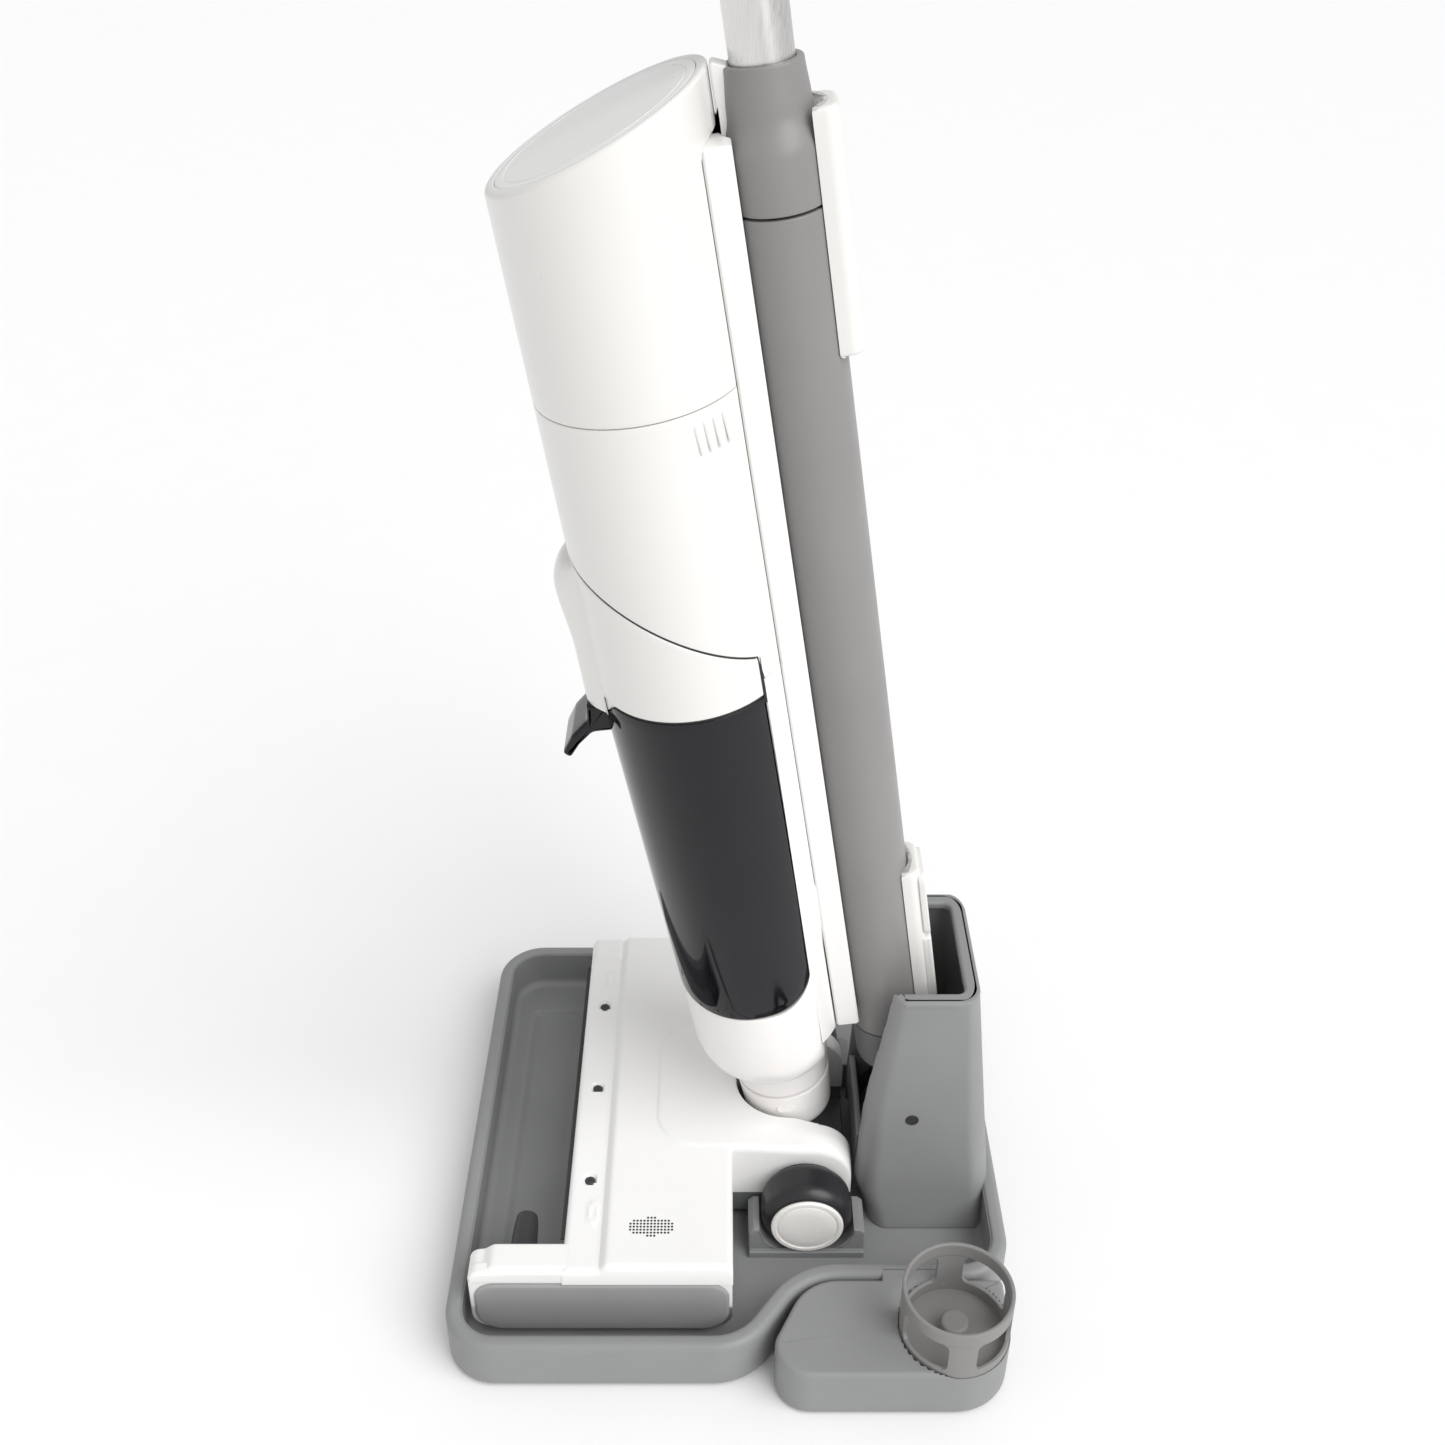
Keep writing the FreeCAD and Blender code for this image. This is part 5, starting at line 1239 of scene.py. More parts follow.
def tank_sheets():
    """Smoked vessel with a level floor and a rounded heel, open at the top."""
    section = drawn_in(oval(BODY_HALF_W, BODY_HALF_D, BODY_Y, TANK_BACK_Y))
    count = 320
    bottom = tank_bottom()
    profile = np.vstack(
        [
            cap(0, 0, 1.6, 0, 1, 40),
            bend(0, 1.6, 0, 0, 1.6, False, 5),
            rise(0, 1, 0, 1.6, -0.4, 30),
            bend(1, 0, -0.4, 0.4, 0, True, 3),
            rise(1, 1, 1.8, 0, -0.4, 1),
            rise(1, 0, 2.0, -0.4, 4.0, 30),
            cap(0, 2.2, 3.4, 1, 0, 40),
        ]
    )
    vessel = skin(section, [bottom, tank_top()], profile, count, (0.0, BODY_Y))
    return [lean_sheet(vessel)]


def hook_sheets():
    """Block under the lid's grip that runs out into a thin curved tongue."""
    front = BODY_FRONT
    low = SPOUT_Z
    side = [(front + 5.0, low, 0), (front + 5.0, LID_GRIP_Z - 0.5, 0), (front - 7.2, LID_GRIP_Z - 0.5, 1.2),
            (front - 8.6, low + 8.0, 5.0),
            (front - 18.5, low - 0.5, 8.0), (front - 25.3, low - 10.5, 1.8), (front - 21.8, low - 14.0, 1.8),
            (front - 15.5, low - 6.5, 5.0),
            (front - 7.0, low + 0.4, 6.0)]
    return [block(side, -17.5, 17.5, 2.4, spacing=2.0, axis="x",
                  centre=(front - 8.0, low + 3.0)).placed(lean)]


def lid_sheets():
    """White lid: an oval wall with a soft outward lip at its foot and a slanted top, and the finger grip on
    its front."""
    section = oval(BODY_HALF_W, BODY_HALF_D, BODY_Y, TANK_BACK_Y)
    profile = solid(0.8, 1.2, 20, 14)
    body = skin(section, [tank_top(1.2), joint_curve(-0.5)], profile, 320, (0.0, BODY_Y))
    return [lean_sheet(body), Sheet(lean(grip_grid()))]


def grip_grid():
    """Finger grip: a soft hump on the lid's front, highest along its middle line and fading into the oval at
    its sides. It leans out to a crest near the top and rolls back there; under the lid its rear clears the
    tank."""
    t = np.linspace(0, 1, 72)[:, None]
    a = np.linspace(-math.pi, math.pi, 128, endpoint=False)[None]
    z = LID_GRIP_Z + 84.0 * t
    proud = 8.0 + 2.8 * smooth(z, 366.0, 402.0)
    proud = (proud + 3.0) * np.sqrt(1 - np.clip((z - 402.0) / 18.2, 0, 1) ** 2) - 3.0
    side = np.sin(a) + 0 * z
    x = side * (29.0 - 3.0 * t)
    face = BODY_Y - BODY_HALF_D * np.sqrt(1 - (x / BODY_HALF_W) ** 2)
    back = np.where(z < TANK_TOP_Z + 2.0, face - 0.6, face + 4.0)
    front = np.minimum(face + 0.4 - (proud + 0.4) * (1 - np.abs(side) ** 3.2) ** 1.4, back - 0.2)
    y = np.where(np.cos(a) > 0, front, back)
    grid = np.stack([x, y, z + 0 * a], axis=-1)
    low = grid[:1].mean(axis=1, keepdims=True) + 0 * grid[:1]
    high = grid[-1:].mean(axis=1, keepdims=True) + 0 * grid[-1:]
    rim = low + (grid[:1] - low) * 0.97
    rim[..., 2] -= 0.4
    low[..., 2] -= 0.4
    return np.concatenate([low, rim, grid, high]).transpose(1, 0, 2)


def joint_painted_shade():
    """Painted shade: a dark strip that shows in the gap between the lid and the can, standing for the shade
    inside the joint.
    """
    section = oval(BODY_HALF_W - 0.7, BODY_HALF_D - 0.7, BODY_Y, TANK_BACK_Y - 0.9)
    strip = skin(section, [joint_curve(-1.4), joint_curve(1.6)], wall(1.0, 0.2, count=4), 240, (0.0, BODY_Y))
    # The two uprights carry the same painted shade down the joint at the rear of both sides.
    upright = [(20.7, TANK_TOP_Z - 4.0, 0.3), (22.4, TANK_TOP_Z - 4.0, 0.3), (22.4, LID_REAR_Z, 0.6),
               (20.7, LID_REAR_Z + 0.6, 0.3)]
    sides = [
        block(upright, *sorted((end * 30.0, end * 44.0)), 0.2, spacing=2.0, axis="x").placed(lean)
        for end in (-1, 1)
    ]
    return [lean_sheet(strip, True), *sides]


def can_sheets_lower():
    """Can between the lid and the waist seam, its lower edge cut to the lid's curve in front and the bay
    behind."""
    section = oval(BODY_HALF_W, BODY_HALF_D, BODY_Y, BACK_Y)
    count = 320
    joint = joint_curve(0.8)

    def low(x, y):
        behind = smooth(y, TANK_BACK_Y + 0.6, TANK_BACK_Y + 1.8)
        return joint(x, y) * (1 - behind) + (BAY_TOP_Z + 0.5) * behind

    profile = np.vstack([solid(0.7, 0.5, 40, 24)])
    body = skin(section, [low, flat(CAN_SEAM_Z)], profile, count, (0.0, BODY_Y))
    return [lean_sheet(body)] + vent_sheets()


def vent_sheets():
    """Four slanted exhaust louvres, raised lips on the can's left side."""
    sheets = []
    for i in range(4):
        y = BACK_Y - 20.4 + 4.2 * i
        x = BODY_HALF_W * math.sqrt(1 - ((y - BODY_Y) / BODY_HALF_D) ** 2)
        low, high = CAN_SEAM_Z - 20.0, CAN_SEAM_Z - 6.0
        skew = math.tan(math.radians(6.0)) * (high - low)
        bar = [(y + skew, low, 0.4), (y + 1.2 + skew, low, 0.4), (y + 1.2, high, 0.4), (y, high, 0.4)]
        sheets.append(block(bar, x - 3.0, x + 0.15, 0.3, spacing=1.0, axis="x").placed(lean))
    return sheets


def can_top(x, y):
    """Slant of the can's top, with its front edge dropping away in a round."""
    slope = (CAN_REAR_Z - CAN_FRONT_Z) / (2 * BODY_HALF_D)
    return CAN_FRONT_Z + slope * (y - BODY_FRONT)


def can_sheets_upper():
    """Can above the seam with a rounded brim round the sunken display."""
    section = oval(BODY_HALF_W, BODY_HALF_D, BODY_Y, None)
    profile = np.vstack(
        [
            cap(0, 0, 0.5, 0, 1, 8),
            bend(0, 0.5, 0, 0, 0.5, False, 3),
            rise(0, 1, 0, 0.5, -2.6, 40),
            bend(1, 0, -2.6, 2.6, 0, True, 7),
            bend(1, 4.2, 0, 5.0, -0.8, False, 4),
            rise(1, 1, 5.0, -0.8, -2.6, 2),
            cap(1, -2.6, 5.0, 1, 0, 20),
        ]
    )
    body = skin(back_cut(section, BACK_Y), [flat(CAN_SEAM_Z + 0.5), can_top], profile, 320, (0.0, BODY_Y))
    return [lean_sheet(body)]


def back_cut(section, back):
    """Section pressed flat behind below the spine's top, and full above it."""

    def cut(u, z, inset):
        x, y = section(u, z, inset)
        limit = back - inset + 12.0 * smooth(z, 604.0, 609.0)
        return x, np.minimum(y, limit)

    return cut


def panel_sheets():
    """Display window: a thin plate with an engraved line just inside its edge."""
    section = oval(BODY_HALF_W - 5.15, BODY_HALF_D - 5.15, BODY_Y, None)
    profile = np.vstack(
        [
            cap(0, -2.5, 0.2, 0, 1, 4),
            rise(0, 0, 0, -2.5, -0.7, 2),
            bend(0, 0, -0.7, 0.6, -0.1, True, 4),
            bend(0, 4.0, -0.1, 4.3, -0.45, True, 3),
            bend(0, 4.7, -0.45, 5.0, -0.1, False, 3),
            cap(0, -0.1, 5.0, 1, 0, 20),
        ]
    )
    body = skin(section, [can_top], profile, 256, (0.0, BODY_Y))
    sheets = [lean_sheet(body)]
    dot = turned(np.array([[0, -0.4], [0.9, -0.4], [1.0, 0.12], [0, 0.2]]), 24)
    place = shifted(dot, 0, BODY_Y + 38.0, float(can_top(0, BODY_Y + 38.0)) - 0.1)
    return sheets + [Sheet(lean(place))]


# ---------------------------------------------------------------- spine, column and pole


def spine_sheets():
    """Backbone: a plank whose rear is hollowed for the column, with the fin above it."""
    front, rear, half = BACK_Y + 0.3, 44.0, 30.0
    angle = np.linspace(-0.99, 0.99, 41)
    hollow = np.stack([(COLUMN_HALF_W + 0.4) * np.sin(angle),
                       COLUMN_Y - (COLUMN_HALF_D + 0.4) * np.cos(angle)], -1)
    hollow = hollow[hollow[:, 1] < rear]
    chamfer = 1.2
    plank_front = [
        [-half, rear - chamfer],
        [-half, front + chamfer],
        [-half + chamfer, front],
        [half - chamfer, front],
        [half, front + chamfer],
        [half, rear - chamfer],
        [half - chamfer, rear],
    ]
    line = np.vstack([plank_front, hollow[::-1], [[-half + chamfer, rear]]])
    points = divided(np.vstack([line, line[:1]]), 2.0, True)
    plank = skin(drawn(points), [flat(SPINE_FOOT_Z), flat(607.0)], solid(0.6, 1.2, 60, 3), len(points),
                 (0.0, 35.0))
    fin = [(BACK_Y + 2.0, 600.0, 0), (47.0, 600.0, 0), (46.0, 633.0, 1.5), (38.6, 636.0, 1.5),
           (38.6, 607.0, 0)]
    return [lean_sheet(plank), block(fin, -6.0, 6.0, 1.2, axis="x").placed(lean)]


def column_sheets():
    """Long oval tank with rounded ends and a fine joint line near its top."""
    section = oval(COLUMN_HALF_W, COLUMN_HALF_D, COLUMN_Y)
    body = skin(section, [flat(COLUMN_Z0), flat(COLUMN_Z1)], solid(1.2, 0.8, 120, 5), 160, (0.0, COLUMN_Y))
    return [lean_sheet(body)]


def collar_size(z):
    """Half width and depth of the collar: the column's oval, drawn in by an S to the round socket."""
    share = smooth(z, 596.0, 613.0)
    top = smooth(z, 613.0, 633.0)
    width = COLUMN_HALF_W + (19.2 - COLUMN_HALF_W) * share - 1.4 * top
    depth = COLUMN_HALF_D + (19.1 - COLUMN_HALF_D) * share - 1.35 * top
    return width, depth


def collar_sheets():
    """Collar with a rolled top lip round the pole."""
    section = oval(lambda z: collar_size(z)[0], lambda z: collar_size(z)[1], COLUMN_Y)
    profile = np.vstack(
        [
            cap(0, 0, 0.8, 0, 1, 4),
            bend(0, 0.8, 0, 0, 0.8, False, 4),
            rise(0, 1, 0, 0.8, -1.2, 60),
            bend(1, 0, -1.2, 1.2, 0, True, 5),
            bend(1, 2.4, 0, 3.4, -1.0, False, 5),
            cap(1, -1.0, 3.4, 1, 0, 4),
        ]
    )
    body = skin(section, [flat(COLUMN_Z1 + 1.2), flat(632.6)], profile, 192, (0.0, COLUMN_Y))
    return [lean_sheet(body)]


def foot_sheets():
    """End piece under the column and the dark link that ties it to the spine."""
    section = oval(COLUMN_HALF_W - 0.5, COLUMN_HALF_D - 0.5, COLUMN_Y)
    body = skin(section, [flat(50.0), flat(COLUMN_Z0 - 1.0)], solid(3.0, 0.6, 16, 6), 128, (0.0, COLUMN_Y))
    low, high = BODY_Y + BODY_HALF_D - 9.0, COLUMN_Y - COLUMN_HALF_D + 6.0
    base, top = SPINE_FOOT_Z - 15.0, SPINE_FOOT_Z - 0.4
    link = [(low, base, 1.0), (high, base, 1.0), (high, top, 1.0), (low, top, 1.0)]
    return [lean_sheet(body), block(link, -12.0, 12.0, 1.0, axis="x").placed(lean)]


def rear_cover(z0, z1, rear, half):
    """Plate wrapped over the column's rear: its section is a rounded bar whose front follows the oval."""
    angle = np.linspace(-0.66, 0.66, 21)
    gap = 0.45
    inner = np.stack([(COLUMN_HALF_W + gap) * np.sin(angle),
                      COLUMN_Y + (COLUMN_HALF_D + gap) * np.cos(angle)], -1)
    inner = inner[np.abs(inner[:, 0]) <= half]
    side_y = inner[0, 1]
    outer = rounded([(half, side_y, 0), (half, rear, 7.0), (-half, rear, 7.0), (-half, side_y, 0)], 2.0,
                    closed=False)
    line = np.vstack([inner, outer])
    points = divided(np.vstack([line, line[:1]]), 2.0, True)
    middle = (0.0, (rear + COLUMN_Y + COLUMN_HALF_D) / 2)
    return skin(drawn(points), [flat(z0), flat(z1)], solid(2.0, 2.5, 40, 5), len(points), middle)


def latch_sheets():
    return [lean_sheet(rear_cover(503.0, 613.0, 90.8, 16.0))]


def tank_grip_sheets():
    """Bar low on the column's rear with a framed finger recess and four ribs."""
    rear = 92.0
    sheets = [lean_sheet(rear_cover(99.0, 196.0, rear - 2.4, 16.0))]
    frame_line = [(-15.0, 148.0, 5.0), (15.0, 148.0, 5.0), (15.0, 193.0, 5.0), (-15.0, 193.0, 5.0)]
    points = rounded(frame_line, 1.5)
    rim = skin(drawn(points), [flat(-rear + 0.1), flat(-(rear - 4.0))], wall(2.6, 0.7, count=4), len(points))
    sheets.append(Sheet(lean(np.stack([rim[..., 0], -rim[..., 2], rim[..., 1]], axis=-1)), True, True))
    lower = [(99.5, rear - 6.0, 2.0), (99.5, rear - 0.1, 2.5), (147.0, rear - 0.1, 1.5),
             (147.0, rear - 6.0, 0)]
    shape = [(b, a, r) for a, b, r in lower]
    sheets.append(block(shape, -15.0, 15.0, 1.6, axis="x").placed(lean))
    for i in range(4):
        z = 155.0 + 8.5 * i
        rib = [(rear - 4.0, z, 0.8), (rear - 1.2, z, 0.8), (rear - 1.2, z + 2.5, 0.8),
               (rear - 4.0, z + 2.5, 0.8)]
        sheets.append(block(rib, -12.0, 12.0, 0.6, spacing=1.0, axis="x").placed(lean))
    return sheets


def pole_sheets():
    """Thin tube, closed as a wall round its bore."""
    outline = rounded([(13.0, 583.5, 0), (14.2, 583.5, 0), (14.2, 882.0, 0.3), (13.0, 882.0, 0.3)], 12.0)
    return [Sheet(lean(shifted(turned(outline, 96), 0, COLUMN_Y)), True, True)]


def sleeve_sheets():
    """Sleeve that swells a little round the buttons, with rolled ends and a fine parting line."""
    outline = rounded(
        [(0.0, 868.0, 0), (18.0, 868.0, 4.0), (18.8, 900.0, 20.0), (18.6, 938.0, 4.0), (0.0, 938.0, 0)], 2.0,
        closed=False
    )

    def parting(angle, height):
        return 1 - 0.012 * np.exp(-(((height - 886.0) / 0.5) ** 2))

    return [Sheet(lean(shifted(turned(outline, 128, parting), 0, COLUMN_Y)))]


def loop_grid():
    """Closed oval loop: u runs round a stadium in the mid-plane and v round the bar's slightly flattened
    section."""
    count = 240
    low = SLEEVE_TOP + 29.0 + 12.0 - 9.0
    line = rounded(
        [(COLUMN_Y - 29.0, low - 29.0, 29.0), (COLUMN_Y + 29.0, low - 29.0, 29.0),
         (COLUMN_Y + 29.0, low + 77.0, 29.0),
         (COLUMN_Y - 29.0, low + 77.0, 29.0)],
        3.0,
    )
    line = even(np.vstack([line, line[:1]]), count + 1)[:-1]
    along = np.roll(line, -1, axis=0) - np.roll(line, 1, axis=0)
    along /= np.linalg.norm(along, axis=1)[:, None]
    out = np.stack([along[:, 1], -along[:, 0]], -1)
    angle = np.linspace(0, 2 * math.pi, 64, endpoint=False)
    inner = 0.5 - 0.5 * np.cos(angle)
    reach = 12.0 * np.cos(angle) * (1 - 0.06 * inner)
    width = 11.9 * np.sin(angle)
    y = line[:, :1] + out[:, :1] * reach[None]
    z = line[:, 1:] + out[:, 1:] * reach[None]
    x = width[None] + 0 * y
    tilt = math.radians(-18.0)
    dy, dz = y - COLUMN_Y, z - SLEEVE_TOP
    y = COLUMN_Y + dy * math.cos(tilt) - dz * math.sin(tilt)
    z = SLEEVE_TOP + dy * math.sin(tilt) + dz * math.cos(tilt)
    return np.stack([x, y, z], axis=-1)


def handle_button_sheets(z, mark):
    """Domed button with a rolled edge and a small raised mark: a bar or a ring."""
    front = COLUMN_Y - 19.0 - 1.5
    angle = np.linspace(0, math.pi / 2, 6)
    edge = np.stack([5.9 + 1.05 * np.sin(angle), 1.0 * (1 - np.cos(angle)) + 0.1], -1)
    outline = np.vstack([[[0.0, 0.0], [3.0, 0.02]], edge, [[6.95, 7.0], [0, 7.0]]])
    if mark == "ring":
        symbol = np.array([[2.0, 0.3], [2.1, -0.0], [2.5, -0.0], [2.6, 0.3]])
    else:
        symbol = np.array([[0.0, -0.0], [0.8, -0.0], [1.0, 0.3], [0.0, 0.3]])
    sheets = []
    for shape, count, closed in ((outline, 64, False), (symbol, 32, mark == "ring")):
        grid = turned(shape, count)
        grid = np.stack([grid[..., 0], front + grid[..., 2], z + grid[..., 1]], axis=-1)
        sheets.append(Sheet(lean(grid), True, closed))
    return sheets


# ---------------------------------------------------------------- settings


class SCRUBBER_PG_stage(bpy.types.PropertyGroup):
    key_strength: bpy.props.FloatProperty(
        name="Key light", description="Strength of the broad light from behind the machine's left",
        default=2.0, min=0.0
    )
    fill_power: bpy.props.FloatProperty(
        name="Fill light", description="Power of the light on the machine's left", default=4.0, min=0.0,
        unit="POWER"
    )
    sky: bpy.props.FloatProperty(name="Sky", description="Strength of the even white surround", default=0.62,
                                 min=0.0)
    floor_size: bpy.props.FloatProperty(
        name="Floor", description="Width of the pale floor", default=9.0, min=1.0, unit="LENGTH"
    )
    lens: bpy.props.FloatProperty(name="Lens", description="Focal length of the camera", default=39.86,
                                  unit="CAMERA")


def add_light(name, place, target, kind, power):
    """A lamp of that kind at place, turned so that its -Z points at target; returns its settings."""
    lamp = bpy.data.lights.new(name, kind)
    lamp.energy = power
    thing = bpy.data.objects.new(name, lamp)
    thing.location = place
    x, y, z = np.array(target) - np.array(place)
    thing.rotation_euler = (math.atan2(math.hypot(x, y), -z), 0.0, math.atan2(-x, y))
    bpy.context.scene.collection.objects.link(thing)
    return lamp


class SCRUBBER_OT_stage(bpy.types.Operator):
    """Camera, lights, white surround and a pale floor"""

    bl_idname = "scrubber.stage"
    bl_label = "Stage"

    def execute(self, context):
        settings = context.scene.scrubber_stage
        camera = bpy.data.cameras.new("camera")
        camera.sensor_width = 36.0
        camera.lens = settings.lens
        camera.clip_end = 50.0
        view = bpy.data.objects.new("camera", camera)
        view.location = (0.7115, 0.0, 0.8247)
        view.rotation_euler = (math.radians(90.0 - 34.0), 0.0, math.radians(90.0))
        context.scene.collection.objects.link(view)
        context.scene.camera = view
        world = bpy.data.worlds.new("surround")
        world.use_nodes = True
        background = world.node_tree.nodes["Background"]
        background.inputs["Color"].default_value = (1.0, 1.0, 1.0, 1.0)
        background.inputs["Strength"].default_value = settings.sky
        context.scene.world = world
        context.scene.view_settings.view_transform = "Standard"
        sun = add_light("key", (1.2, 1.4, 2.0), (0.0, 0.0, 0.0), "SUN", settings.key_strength)
        sun.angle = math.radians(50.0)
        disk = add_light("fill", (1.9, 1.2, 1.2), (0.0, 0.0, 0.3), "AREA", settings.fill_power)
        disk.shape = "DISK"
        disk.size = 1.4
        half = settings.floor_size / 2 / MM
        line = np.linspace(-half, half, 9)
        x, y = np.meshgrid(line, line, indexing="ij")
        ground = Sheet(np.stack([x, y, 0 * x - 0.05], axis=-1), False, False).mesh()
        ground.materials.append(MATERIALS["floor"])
        floor = bpy.data.objects.new("floor", ground)
        context.scene.collection.objects.link(floor)
        return {"FINISHED"}


class SCRUBBER_OT_materials(bpy.types.Operator):
    """Makes every finish and gives each frame node its own"""

    bl_idname = "scrubber.materials"
    bl_label = "Materials"

    def execute(self, context):
        make_materials()
        finish_nodes()
        return {"FINISHED"}


class SCRUBBER_OT_tray(bpy.types.Operator):
    """Tray, wheel chocks and the socket of the dock"""

    bl_idname = "scrubber.tray"
    bl_label = "Dock tray"

    def execute(self, context):
        piece("tray", tray_sheets(), "dock_grey", "dock", ["dock_tray"])
        chocks = cradle_sheets(1) + cradle_sheets(-1)
        piece("wheel_chocks", chocks, "dock_grey", "dock", ["wheel_cradles"])
        piece("power_socket", power_socket_sheets(), "dark_plastic", "dock", ["power_inlet"])
        return {"FINISHED"}


class SCRUBBER_OT_tower(bpy.types.Operator):
    """Tower that wraps the foot of the column, with its screws"""

    bl_idname = "scrubber.tower"
    bl_label = "Dock tower"

    def execute(self, context):
        piece("tower", tower_sheets(), "dock_grey", "dock", ["dock_tower"])
        piece("tower_holes", tower_hole_sheets(), "rubber", "dock")
        return {"FINISHED"}


class SCRUBBER_OT_holder(bpy.types.Operator):
    """Accessory holder with its drying ring"""

    bl_idname = "scrubber.holder"
    bl_label = "Accessory holder"

    def execute(self, context):
        piece("holder", holder_sheets(), "dock_grey", "holder", ["holder_base"])
        piece("drying_ring", ring_sheets(), "ring_grey", "holder", ["ring_basket"])
        return {"FINISHED"}


class SCRUBBER_OT_head(bpy.types.Operator):
    """Floor head: cover with its tail, arm, end plates, chassis and roller hub"""

    bl_idname = "scrubber.head"
    bl_label = "Floor head"

    def execute(self, context):
        piece("head_shell", cover_sheets(), "white_head", "floor_head", ["head_cover"])
        piece("head_ears", ear_sheets(1) + ear_sheets(-1), "white_head", "floor_head")
        piece("roller_arm", arm_sheets(), "white_head", "floor_head", ["drive_arm"])
        piece("speaker", speaker_dots(), "dark_plastic", "floor_head")
        for side, name in ((1, "left"), (-1, "right")):
            sheets = end_plate_sheets(side)
            piece(f"{name}_end_plate", sheets, "plate_grey", "floor_head",
                  [f"end_plate_{name}"])
        piece("chassis", chassis_sheets(), "foot_grey", "floor_head", ["head_chassis"])
        top = STRIP_TOP - 1.6
        screws = [Sheet(screw(x, -79.0, top, 3.1, 0.9, "z")) for x in SCREW_X]
        piece("strip_screws", screws, "dark_plastic", "floor_head", ["cover_screws"])
        piece("roller_hub", hub_sheets(), "dark_plastic", "drive_hub", ["roller_drive_hub"])
        return {"FINISHED"}


class SCRUBBER_OT_wheels(bpy.types.Operator):
    """Two rear wheels, each a tyre, a hub and a cap"""

    bl_idname = "scrubber.wheels"
    bl_label = "Rear wheels"

    def execute(self, context):
        finishes = {"tyre": "tyre", "hub": "dark_plastic", "cap": "white_cap"}
        for side, name in ((1, "left"), (-1, "right")):
            for part, (grid, closed) in wheel_grids().items():
                slot = finishes[part]
                sheets = [wheel_sheet(grid, closed, side)]
                piece(f"{name}_wheel_{part}", sheets, slot, f"{name}_wheel", [f"{name}_{part}"])
        return {"FINISHED"}


class SCRUBBER_OT_neck(bpy.types.Operator):
    """Neck cup on its pivot, and the button that frees the body"""

    bl_idname = "scrubber.neck"
    bl_label = "Neck"

    def execute(self, context):
        piece("cup", cup_sheets(), "white_bowl", "neck", ["neck_cup"])
        piece("cup_button", neck_button_sheets(), "white_bowl", "neck_button", ["neck_button"])
        return {"FINISHED"}


class SCRUBBER_OT_cans(bpy.types.Operator):
    """Bowl, bay wall, the can's two shells and the display window"""

    bl_idname = "scrubber.cans"
    bl_label = "Body shells"

    def execute(self, context):
        piece("bowl", housing_sheets(), "white_bowl", "body", ["lower_housing"])
        piece("can_lower", can_sheets_lower(), "white_shell", "body", ["can_lower_shell"])
        # Painted shade: a dark strip in the rubber finish fills the gap between the lid and the can.
        piece("lid_joint_painted_shade", joint_painted_shade(), "rubber", "body")
        piece("can_upper", can_sheets_upper(), "white_shell", "body", ["can_upper_shell"])
        piece("display_window", panel_sheets(), "white_panel", "body", ["display_panel"])
        return {"FINISHED"}


class SCRUBBER_OT_recovery_tank(bpy.types.Operator):
    """Smoked recovery tank with its hook, and the white lid with its finger grip"""

    bl_idname = "scrubber.recovery_tank"
    bl_label = "Recovery tank"

    def execute(self, context):
        piece("tank", tank_sheets(), "smoked_tank", "recovery_tank", ["recovery_tank"])
        piece("tank_hook", hook_sheets(), "smoked_tank", "recovery_tank")
        piece("lid", lid_sheets(), "white_shell", "recovery_tank", ["tank_lid"])
        return {"FINISHED"}


class SCRUBBER_OT_column(bpy.types.Operator):
    """Spine, grey clean-water column, its latch, grip, foot and collar"""

    bl_idname = "scrubber.column"
    bl_label = "Column"

    def execute(self, context):
        piece("backbone", spine_sheets(), "white_head", "body", ["spine_frame"])
        piece("column", column_sheets(), "column_grey", "clean_tank", ["clean_tank"])
        piece("column_collar", collar_sheets(), "column_grey", "body", ["pole_collar"])
        piece("column_base", foot_sheets(), "foot_grey", "body", ["column_foot"])
        latch, grip = latch_sheets(), tank_grip_sheets()
        piece("column_latch", latch, "white_shell", "clean_tank_latch", ["clean_tank_latch"])
        piece("column_grip", grip, "white_shell", "clean_tank", ["clean_tank_grip"])
        return {"FINISHED"}


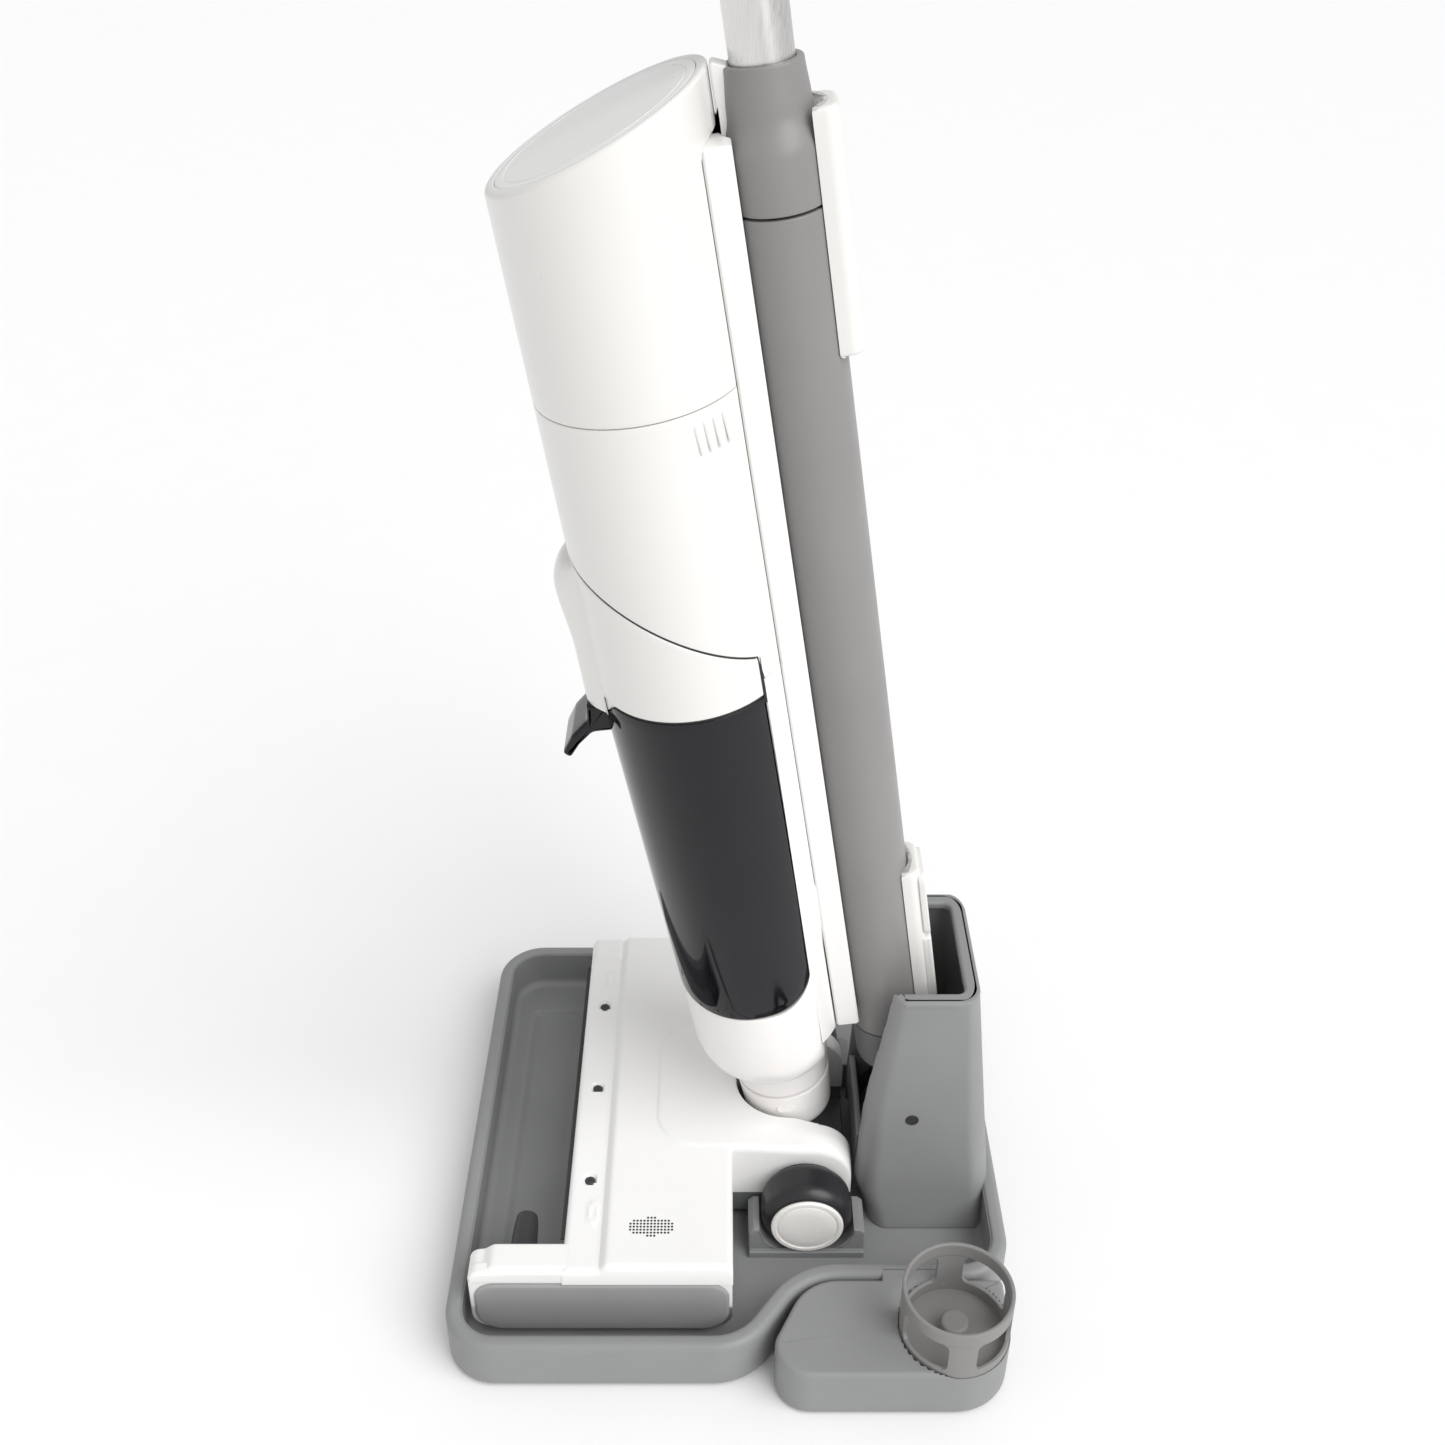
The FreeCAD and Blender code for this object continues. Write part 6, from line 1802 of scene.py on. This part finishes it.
class SCRUBBER_OT_handle(bpy.types.Operator):
    """Pole, sleeve, grip loop and the two buttons"""

    bl_idname = "scrubber.handle"
    bl_label = "Handle"

    def execute(self, context):
        piece("tube", pole_sheets(), "pole_aluminium", "body", ["pole"])
        piece("sleeve", sleeve_sheets(), "white_shell", "body", ["handle_sleeve"])
        piece("grip_loop", [Sheet(lean(loop_grid()), True, True)], "column_grey", "body",
              ["handle_grip"])
        for name, z, mark in (("power_button", 916.0, "bar"), ("self_clean_button", 892.0, "ring")):
            sheets = handle_button_sheets(z, mark)
            piece(f"{name}_cap", sheets, "dark_plastic", name, [name])
        return {"FINISHED"}


OPERATORS = (
    SCRUBBER_OT_materials,
    SCRUBBER_OT_stage,
    SCRUBBER_OT_tray,
    SCRUBBER_OT_tower,
    SCRUBBER_OT_holder,
    SCRUBBER_OT_head,
    SCRUBBER_OT_wheels,
    SCRUBBER_OT_neck,
    SCRUBBER_OT_cans,
    SCRUBBER_OT_recovery_tank,
    SCRUBBER_OT_column,
    SCRUBBER_OT_handle,
)


class SCRUBBER_PT_panel(bpy.types.Panel):
    """Lists the settings and the operators in the order they run"""

    bl_idname = "SCRUBBER_PT_panel"
    bl_label = "Wet dry floor scrubber"
    bl_space_type = "VIEW_3D"
    bl_region_type = "UI"
    bl_category = "Scrubber"

    def draw(self, context):
        for group in (context.scene.scrubber_stage,):
            column = self.layout.column()
            for key in group.__annotations__:
                column.prop(group, key)
        column = self.layout.column()
        for operator in OPERATORS:
            column.operator(operator.bl_idname)


CLASSES = (SCRUBBER_PG_stage, *OPERATORS, SCRUBBER_PT_panel)


def register():
    for entry in CLASSES:
        bpy.utils.register_class(entry)
    bpy.types.Scene.scrubber_stage = bpy.props.PointerProperty(type=SCRUBBER_PG_stage)


def unregister():
    del bpy.types.Scene.scrubber_stage
    for entry in reversed(CLASSES):
        bpy.utils.unregister_class(entry)


def main():
    register()
    for operator in OPERATORS:
        group, name = operator.bl_idname.split(".")
        getattr(getattr(bpy.ops, group), name)()


if __name__ == "__main__":
    main()
